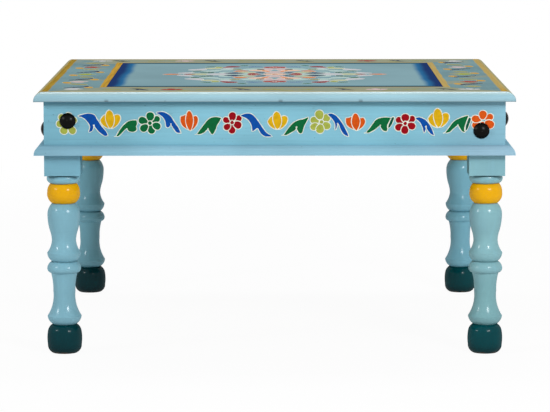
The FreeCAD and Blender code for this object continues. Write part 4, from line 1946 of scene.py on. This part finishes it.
@dataclass
class Top:
    """Top border boards, panel and battens, with the borders' rows and the panel's medallion."""

    border_middle_mm: float = 252.5
    border_period_mm: float = 129.0
    border_first_mm: float = -171.0
    leaf_scales: Point = (0.86, 1.12)
    berry_sizes_mm: tuple[Point, Point] = ((17.0, 8.5), (24.0, 10.5))
    berry_degrees: float = 8.0
    berry_points: int = 14
    berry_layer: int = 2
    arch_box: Box = Box(-15.0, 15.0, -13.5, 13.5)
    rise_box: Box = Box(-13.0, 13.0, -11.0, 10.0)
    bud_box: Box = Box(-14.0, 14.0, -12.0, 12.0)
    first_bud_box: Box = Box(-12.0, 12.0, -11.0, 11.0)
    first_bud_back_mm: float = 34.0
    last_bud_back_mm: float = 12.0
    bud_at_mm: float = 41.0
    outer_berry_mm: Point = (57.0, -16.0)
    inner_berry_mm: Point = (3.0, 16.5)
    rise_at_mm: float = 83.0
    stray_mm: float = 1.5
    fill_height_mm: float = 0.02
    layer_height_mm: float = 0.01
    bead_mm: Point = (0.6, 0.05)
    seed: int = 29
    petals: tuple[MedallionPetal, ...] = (
        MedallionPetal(Petal.POINTED, (138.0, 0.0), (24.0, 15.0), 0.0, Paint.AMBER, 2),
        MedallionPetal(Petal.DROP, (117.0, 27.0), (34.0, 17.0), -58.0, Paint.PALE),
        MedallionPetal(Petal.POINTED, (114.0, 0.0), (17.0, 12.0), 0.0, Paint.BRICK, 3),
        MedallionPetal(Petal.ROUND, (99.0, 0.0), (34.0, 32.0), 0.0, Paint.STRAW),
        MedallionPetal(Petal.ROUND, (73.0, 0.0), (36.0, 36.0), 0.0, Paint.PALE, 2),
        MedallionPetal(Petal.DROP, (101.0, 90.0), (46.0, 23.0), -62.0, Paint.PALE),
        MedallionPetal(Petal.DROP, (81.0, 66.0), (42.0, 20.0), -55.0, Paint.MINT, 2),
        MedallionPetal(Petal.ROUND, (84.0, 106.0), (22.0, 26.0), 20.0, Paint.STRAW, 2),
        MedallionPetal(Petal.POINTED, (105.0, 60.0), (20.0, 8.0), -50.0, Paint.GREEN, 3),
        MedallionPetal(Petal.POINTED, (94.0, 37.0), (17.0, 8.0), -20.0, Paint.GREEN, 3),
        MedallionPetal(Petal.POINTED, (86.0, 31.0), (16.0, 9.0), 60.0, Paint.DARK_GREEN, 4),
        MedallionPetal(Petal.POINTED, (88.0, 138.0), (20.0, 7.0), -35.0, Paint.GREEN, 1),
        MedallionPetal(Petal.ROUND, (77.0, 128.0), (10.0, 16.0), 0.0, Paint.LIME, 2),
        MedallionPetal(Petal.DROP, (62.0, 132.0), (32.0, 20.0), 130.0, Paint.CRIMSON, 3),
        MedallionPetal(Petal.ROUND, (64.0, 110.0), (13.0, 20.0), 0.0, Paint.PALE),
        MedallionPetal(Petal.DROP, (50.0, 88.0), (24.0, 13.0), 60.0, Paint.KHAKI, 2),
        MedallionPetal(Petal.ROUND, (65.0, 84.0), (15.0, 24.0), 0.0, Paint.MINT),
        MedallionPetal(Petal.DROP, (48.0, 54.0), (27.0, 18.0), 128.0, Paint.AMBER, 3),
        MedallionPetal(Petal.POINTED, (54.0, 19.0), (30.0, 20.0), 8.0, Paint.NAVY, 4),
        MedallionPetal(Petal.ROUND, (54.0, 0.0), (24.0, 18.0), 0.0, Paint.MINT, 3),
        MedallionPetal(Petal.ROUND, (29.0, 0.0), (15.0, 42.0), 0.0, Paint.BRICK, 5),
        MedallionPetal(Petal.ROUND, (66.0, 30.0), (16.0, 26.0), 0.0, Paint.MINT),
        MedallionPetal(Petal.POINTED, (42.0, 160.0), (17.0, 7.0), -40.0, Paint.GREEN, 1),
        MedallionPetal(Petal.CRESCENT, (25.0, 134.0), (28.0, 14.0), -20.0, Paint.BLUE, 2),
        MedallionPetal(Petal.POINTED, (19.0, 84.0), (20.0, 9.0), 60.0, Paint.DARK_GREEN, 4),
        MedallionPetal(Petal.ROUND, (30.0, 88.0), (26.0, 32.0), 0.0, Paint.MINT),
        MedallionPetal(Petal.DROP, (9.0, 84.0), (46.0, 20.0), 84.0, Paint.PINK, 3),
        MedallionPetal(Petal.DROP, (17.0, 60.0), (44.0, 26.0), 62.0, Paint.PEACH, 2),
        MedallionPetal(Petal.POINTED, (12.0, 55.0), (32.0, 6.0), 70.0, Paint.AMBER, 4),
        MedallionPetal(Petal.ROUND, (36.0, 12.0), (26.0, 26.0), 0.0, Paint.MINT),
        MedallionPetal(Petal.ROUND, (38.0, 34.0), (22.0, 24.0), 0.0, Paint.STRAW),
        MedallionPetal(Petal.POINTED, (18.0, 28.0), (26.0, 7.0), 55.0, Paint.NAVY, 3),
        MedallionPetal(Petal.ROUND, (0.0, 38.0), (26.0, 34.0), 0.0, Paint.PINK, 3),
    )
    blooms: tuple[MedallionBloom, ...] = (
        MedallionBloom((26.0, 0.0), 9.0, 5, 0.0, 6, 0.0, Paint.CRIMSON, Paint.CRIMSON),
        MedallionBloom((0.0, 126.0), 17.0, 6, 90.0, 3, 4.2, Paint.RED, Paint.PINK),
        MedallionBloom((-26.0, 0.0), 9.0, 5, 180.0, 6, 0.0, Paint.CRIMSON, Paint.CRIMSON),
        MedallionBloom((0.0, -126.0), 17.0, 6, 90.0, 3, 4.2, Paint.RED, Paint.PINK),
        MedallionBloom((0.0, 0.0), 17.0, 8, 0.0, 1, 8.0, Paint.PEACH, Paint.BRICK),
    )

    def dress(self) -> None:
        """Paints the boards and the panel, and leaves the battens bare."""
        for grain in (Axis.X, Axis.Y):
            sides = [side for side in Side if side.grain is grain]
            paint = BorderPaint("border_paint_" + grain.name.lower(), grain)
            dress_nodes(["top_border_" + side.label for side in sides], paint.material())
        dress_nodes(["top_panel"], PanelPaint("panel_paint").material())
        wood = PlanedWood("batten_wood", Axis.Y).material()
        dress_nodes(["panel_batten_left", "panel_batten_right"], wood)

    def ornament(self, paints: Palette, beads: BeadTree) -> None:
        """Paints the four border rows and the medallion.

        Args:
            paints: The top's ornament materials.
            beads: The tree that lays the outlines.
        """
        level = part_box("top_border_front")[1].z
        for side in Side:
            drawing = self._row(side)
            place = Matrix.Translation((0.0, -self.border_middle_mm * MM, level))
            drawing.build(side.turn @ place, paints, beads)
        medallion = self._medallion()
        medallion.build(Matrix.Translation((0.0, 0.0, level)), paints, beads)

    def _row(self, side: Side) -> Drawing:
        """One border's row: leaf, bud, rising leaf and small petals in turn.

        Args:
            side: The border board's side.

        Returns:
            The row's drawing.
        """
        draw = random.Random(self.seed + side.value)
        drawing = self._drawing("top_border_" + side.label, "painted_border")
        arches = (Leaf.ARCH_WIDE, Leaf.ARCH_ROUND, Leaf.ARCH_LONG, Leaf.ARCH_SLIM)
        rises = (Leaf.RISE_ROUND, Leaf.RISE_POINTED, Leaf.RISE_STEEP, Leaf.RISE_FLAT)
        across = side.grain is Axis.Y
        leaf_scale = self.leaf_scales[across]
        berry = Paint.MUSTARD if across else Paint.KHAKI
        drawing.line_paint = Paint.STRAW if across else Paint.KHAKI
        buds = (Paint.BRICK, Paint.LIME if across else Paint.KHAKI, Paint.PINK, Paint.PALE)
        for index, bud_paint in enumerate(buds):
            at = self.border_first_mm + index * self.border_period_mm
            leaf = (index + side.value) % 4
            arch = RowLeaf(arches[leaf], Paint.NAVY, self.arch_box)
            self._place(drawing, draw, arch, at, leaf_scale)
            last = index == len(buds) - 1
            bud = RowBud(list(BudForm)[index % 2], bud_paint, self.bud_box)
            self._place(drawing, draw, bud, at + self.bud_at_mm - (self.last_bud_back_mm if last else 0.0))
            self._berry(drawing, self.inner_berry_mm, at, across, berry)
            if not last:
                self._berry(drawing, self.outer_berry_mm, at, across, berry)
                rise = RowLeaf(rises[leaf], Paint.KHAKI, self.rise_box)
                self._place(drawing, draw, rise, at + self.rise_at_mm, leaf_scale)
        first = RowBud(BudForm.FULL, Paint.KHAKI, self.first_bud_box)
        self._place(drawing, draw, first, self.border_first_mm - self.first_bud_back_mm)
        return drawing

    def _berry(self, drawing: Drawing, place: Point, at_mm: float, across: bool, paint: Paint) -> None:
        """Adds a small oval beside the row.

        Args:
            drawing: The row's drawing.
            place: Its place from where its group starts.
            at_mm: Where its group starts.
            across: Whether the row runs along a side.
            paint: Its paint.
        """
        spot = (at_mm + place[0], place[1])
        loop = oval(spot, self.berry_sizes_mm[across], self.berry_degrees, self.berry_points)
        drawing.fill(loop, paint, self.berry_layer)

    def _place(
        self, drawing: Drawing, draw: random.Random, motif: RowMotif, at_mm: float, scale: float = 1.0
    ) -> None:
        """Adds a motif at a place along the border, a little astray."""
        stray = strayed(draw, self.stray_mm)
        add_motif(drawing, motif, motif.paint, scale, (at_mm + stray[0], stray[1]))

    def _drawing(self, name: str, slot: str) -> Drawing:
        """A drawing in the thinner paint of the top."""
        return Drawing(name, slot, self.fill_height_mm, self.layer_height_mm, *self.bead_mm)

    def _medallion(self) -> Drawing:
        """The medallion: petals that are drawn for a quarter and mirrored, and whole flowers.

        Returns:
            The medallion's drawing.
        """
        drawing = self._drawing("panel_medallion", "painted_panel")
        for petal in self.petals:
            x, y = petal.middle
            for flip_x in ((1.0,) if x == 0 else (1.0, -1.0)):
                for flip_y in ((1.0,) if y == 0 else (1.0, -1.0)):
                    degrees = (petal.degrees if flip_x > 0 else 180.0 - petal.degrees) * flip_y
                    size = (petal.size[0], petal.size[1] * flip_x * flip_y)
                    middle = (x * flip_x, y * flip_y)
                    drawing.turned(petal.form.value, middle, size, degrees, petal.paint, petal.layer)
        for bloom in self.blooms:
            lobes = ring_of_lobes(bloom.radius, bloom.count, bloom.start, bloom.layer)
            drawing.flower(Bloom(bloom.middle, lobes, bloom.heart), bloom.paint, bloom.heart_paint)
        return drawing


@dataclass
class Legs:
    """The four turned legs."""

    corners: tuple[str, ...] = ("front_left", "front_right", "back_right", "back_left")

    def dress(self) -> None:
        """Paints the legs."""
        dress_nodes(["leg_" + corner for corner in self.corners], LegPaint("leg_paint").material())


@dataclass
class Underside:
    """Cleats and all fasteners."""

    plate: Colour = linear(196, 198, 202)
    screw: Colour = linear(202, 196, 180)

    def dress(self) -> None:
        """Gives the cleats their wood and the fasteners their plating."""
        for grain in (Axis.X, Axis.Y):
            wood = PlanedWood("cleat_wood_" + grain.name.lower(), grain).material()
            dress_nodes(["apron_cleat_" + side.label for side in Side if side.grain is grain], wood)
        dress_nodes(["leg_bolts"], BlackSteel().material())
        plate = ZincPlate("zinc_plate", self.plate).material()
        dress_nodes(["leg_bolt_washers", "leg_bolt_nuts"], plate)
        screw = ZincPlate("zinc_screw", self.screw).material()
        dress_nodes(["batten_screws", "cleat_screws", "moulding_pins"], screw)


@dataclass(frozen=True)
class Lamp:
    """Soft rectangular lamp that faces the table."""

    name: str
    place: Triple
    size: Point
    watts: float

    def build(self, target: Vector) -> None:
        """Adds the lamp.

        Args:
            target: Where it points.
        """
        data = bpy.data.lights.new(self.name, "AREA")
        data.shape = "RECTANGLE"
        data.size, data.size_y = self.size
        data.energy = self.watts
        lamp = bpy.data.objects.new(self.name, data)
        lamp.location = self.place
        lamp.rotation_euler = (target - lamp.location).to_track_quat("-Z", "Y").to_euler()
        bpy.context.scene.collection.objects.link(lamp)


@dataclass
class Studio:
    """Floor, background, lamps and the camera."""

    lens_mm: float = 200.88
    camera_place: Triple = (0.0034, -4.100, 0.6399)
    pitch: float = 6.753
    yaw: float = -0.045
    roll: float = 0.045
    far: float = 100.0
    target: Triple = (0.0, 0.0, 0.18)
    ambient: float = 0.25
    floor_size: float = 60.0
    floor_white: float = 0.82
    glow_near: float = 0.95
    glow_more_away: float = 0.05
    glow_fade: Span = (0.3, 4.0)
    lamps: tuple[Lamp, ...] = (
        Lamp("softbox_right", (1.09, -2.00, 1.16), (1.0, 1.0), 5.0),
        Lamp("bulb_right", (1.04, -1.95, 1.17), (0.50, 0.42), 25.0),
        Lamp("softbox_left", (-1.92, -1.25, 1.16), (0.9, 1.0), 3.0),
        Lamp("bulb_left", (-1.87, -1.21, 1.17), (0.36, 0.36), 12.0),
        Lamp("strip_above", (0.0, 0.75, 2.2), (2.2, 0.6), 24.0),
        Lamp("behind", (0.4, 3.4, 1.9), (2.0, 1.2), 10.0),
    )

    def build(self) -> None:
        """Builds everything round the table."""
        scene = bpy.context.scene
        scene.view_settings.view_transform = "Standard"
        for lamp in self.lamps:
            lamp.build(Vector(self.target))
        self._camera()
        self._world()
        self._floor()

    def _camera(self) -> None:
        """The camera at the photograph's viewing angle."""
        data = bpy.data.cameras.new("camera")
        data.lens = self.lens_mm
        data.clip_end = self.far
        camera = bpy.data.objects.new("camera", data)
        turn = (
            Matrix.Rotation(-math.radians(self.yaw), 4, "Z")
            @ Matrix.Rotation(math.radians(90.0 - self.pitch), 4, "X")
            @ Matrix.Rotation(-math.radians(self.roll), 4, "Z")
        )
        camera.matrix_world = Matrix.Translation(self.camera_place) @ turn
        bpy.context.scene.collection.objects.link(camera)
        bpy.context.scene.camera = camera

    def _world(self) -> None:
        """White where it is seen or mirrored, and a plain grey light elsewhere."""
        world = bpy.data.worlds.new("studio")
        bpy.context.scene.world = world
        world.use_nodes = True
        graph = Graph(world.node_tree)
        dim = graph.node("ShaderNodeBackground", inputs={"Color": WHITE, "Strength": self.ambient})
        white = graph.node("ShaderNodeBackground", inputs={"Color": WHITE})
        choice: Inputs = {0: graph.seen(), 1: dim.outputs[0], 2: white.outputs[0]}
        choose = graph.node("ShaderNodeMixShader", inputs=choice)
        graph.node("ShaderNodeOutputWorld", inputs={"Surface": choose.outputs[0]})

    def _floor(self) -> None:
        """White floor that keeps a faint shadow of the table."""
        half = self.floor_size / 2
        mesh = bpy.data.meshes.new("floor")
        verts = [(-half, -half, 0), (half, -half, 0), (half, half, 0), (-half, half, 0)]
        mesh.from_pydata(verts, [], [(0, 1, 2, 3)])
        floor = bpy.data.objects.new("floor", mesh)
        bpy.context.scene.collection.objects.link(floor)
        graph = FinishGraph("floor_white")
        white = self.floor_white
        matt = graph.node("ShaderNodeBsdfDiffuse", inputs={"Color": (white, white, white, 1.0)})
        glow = graph.node("ShaderNodeEmission", inputs={"Color": WHITE, "Strength": 1.0})
        x, y, _ = graph.parts()
        away = (x * x + y * y).rise(self.glow_fade)
        share = graph.seen() * (self.glow_near + self.glow_more_away * away)
        choice: Inputs = {0: share, 1: matt.outputs[0], 2: glow.outputs[0]}
        blend = graph.node("ShaderNodeMixShader", inputs=choice)
        graph.feed(graph.output.inputs["Surface"], blend.outputs[0])
        mesh.materials.append(graph.material)


def corners(bounds: Sequence[Vector]) -> list[list[float]]:
    """Two corners as plain lists."""
    return [list(corner) for corner in bounds]


def main() -> None:
    """Builds the studio and dresses the table."""
    logging.basicConfig(level=logging.INFO, format="%(name)s %(message)s")
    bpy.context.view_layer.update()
    Studio().build()
    beads = BeadTree()
    aprons, top = Aprons(), Top()
    for part in (aprons, top, Legs(), Underside()):
        part.dress()
        LOG.info("%s dressed", type(part).__name__)
    aprons.ornament(Palette("apron_ornament", APRON_ORNAMENT_COAT), beads)
    top.ornament(Palette("top_ornament", TOP_ORNAMENT_COAT), beads)


if __name__ == "__main__":
    main()
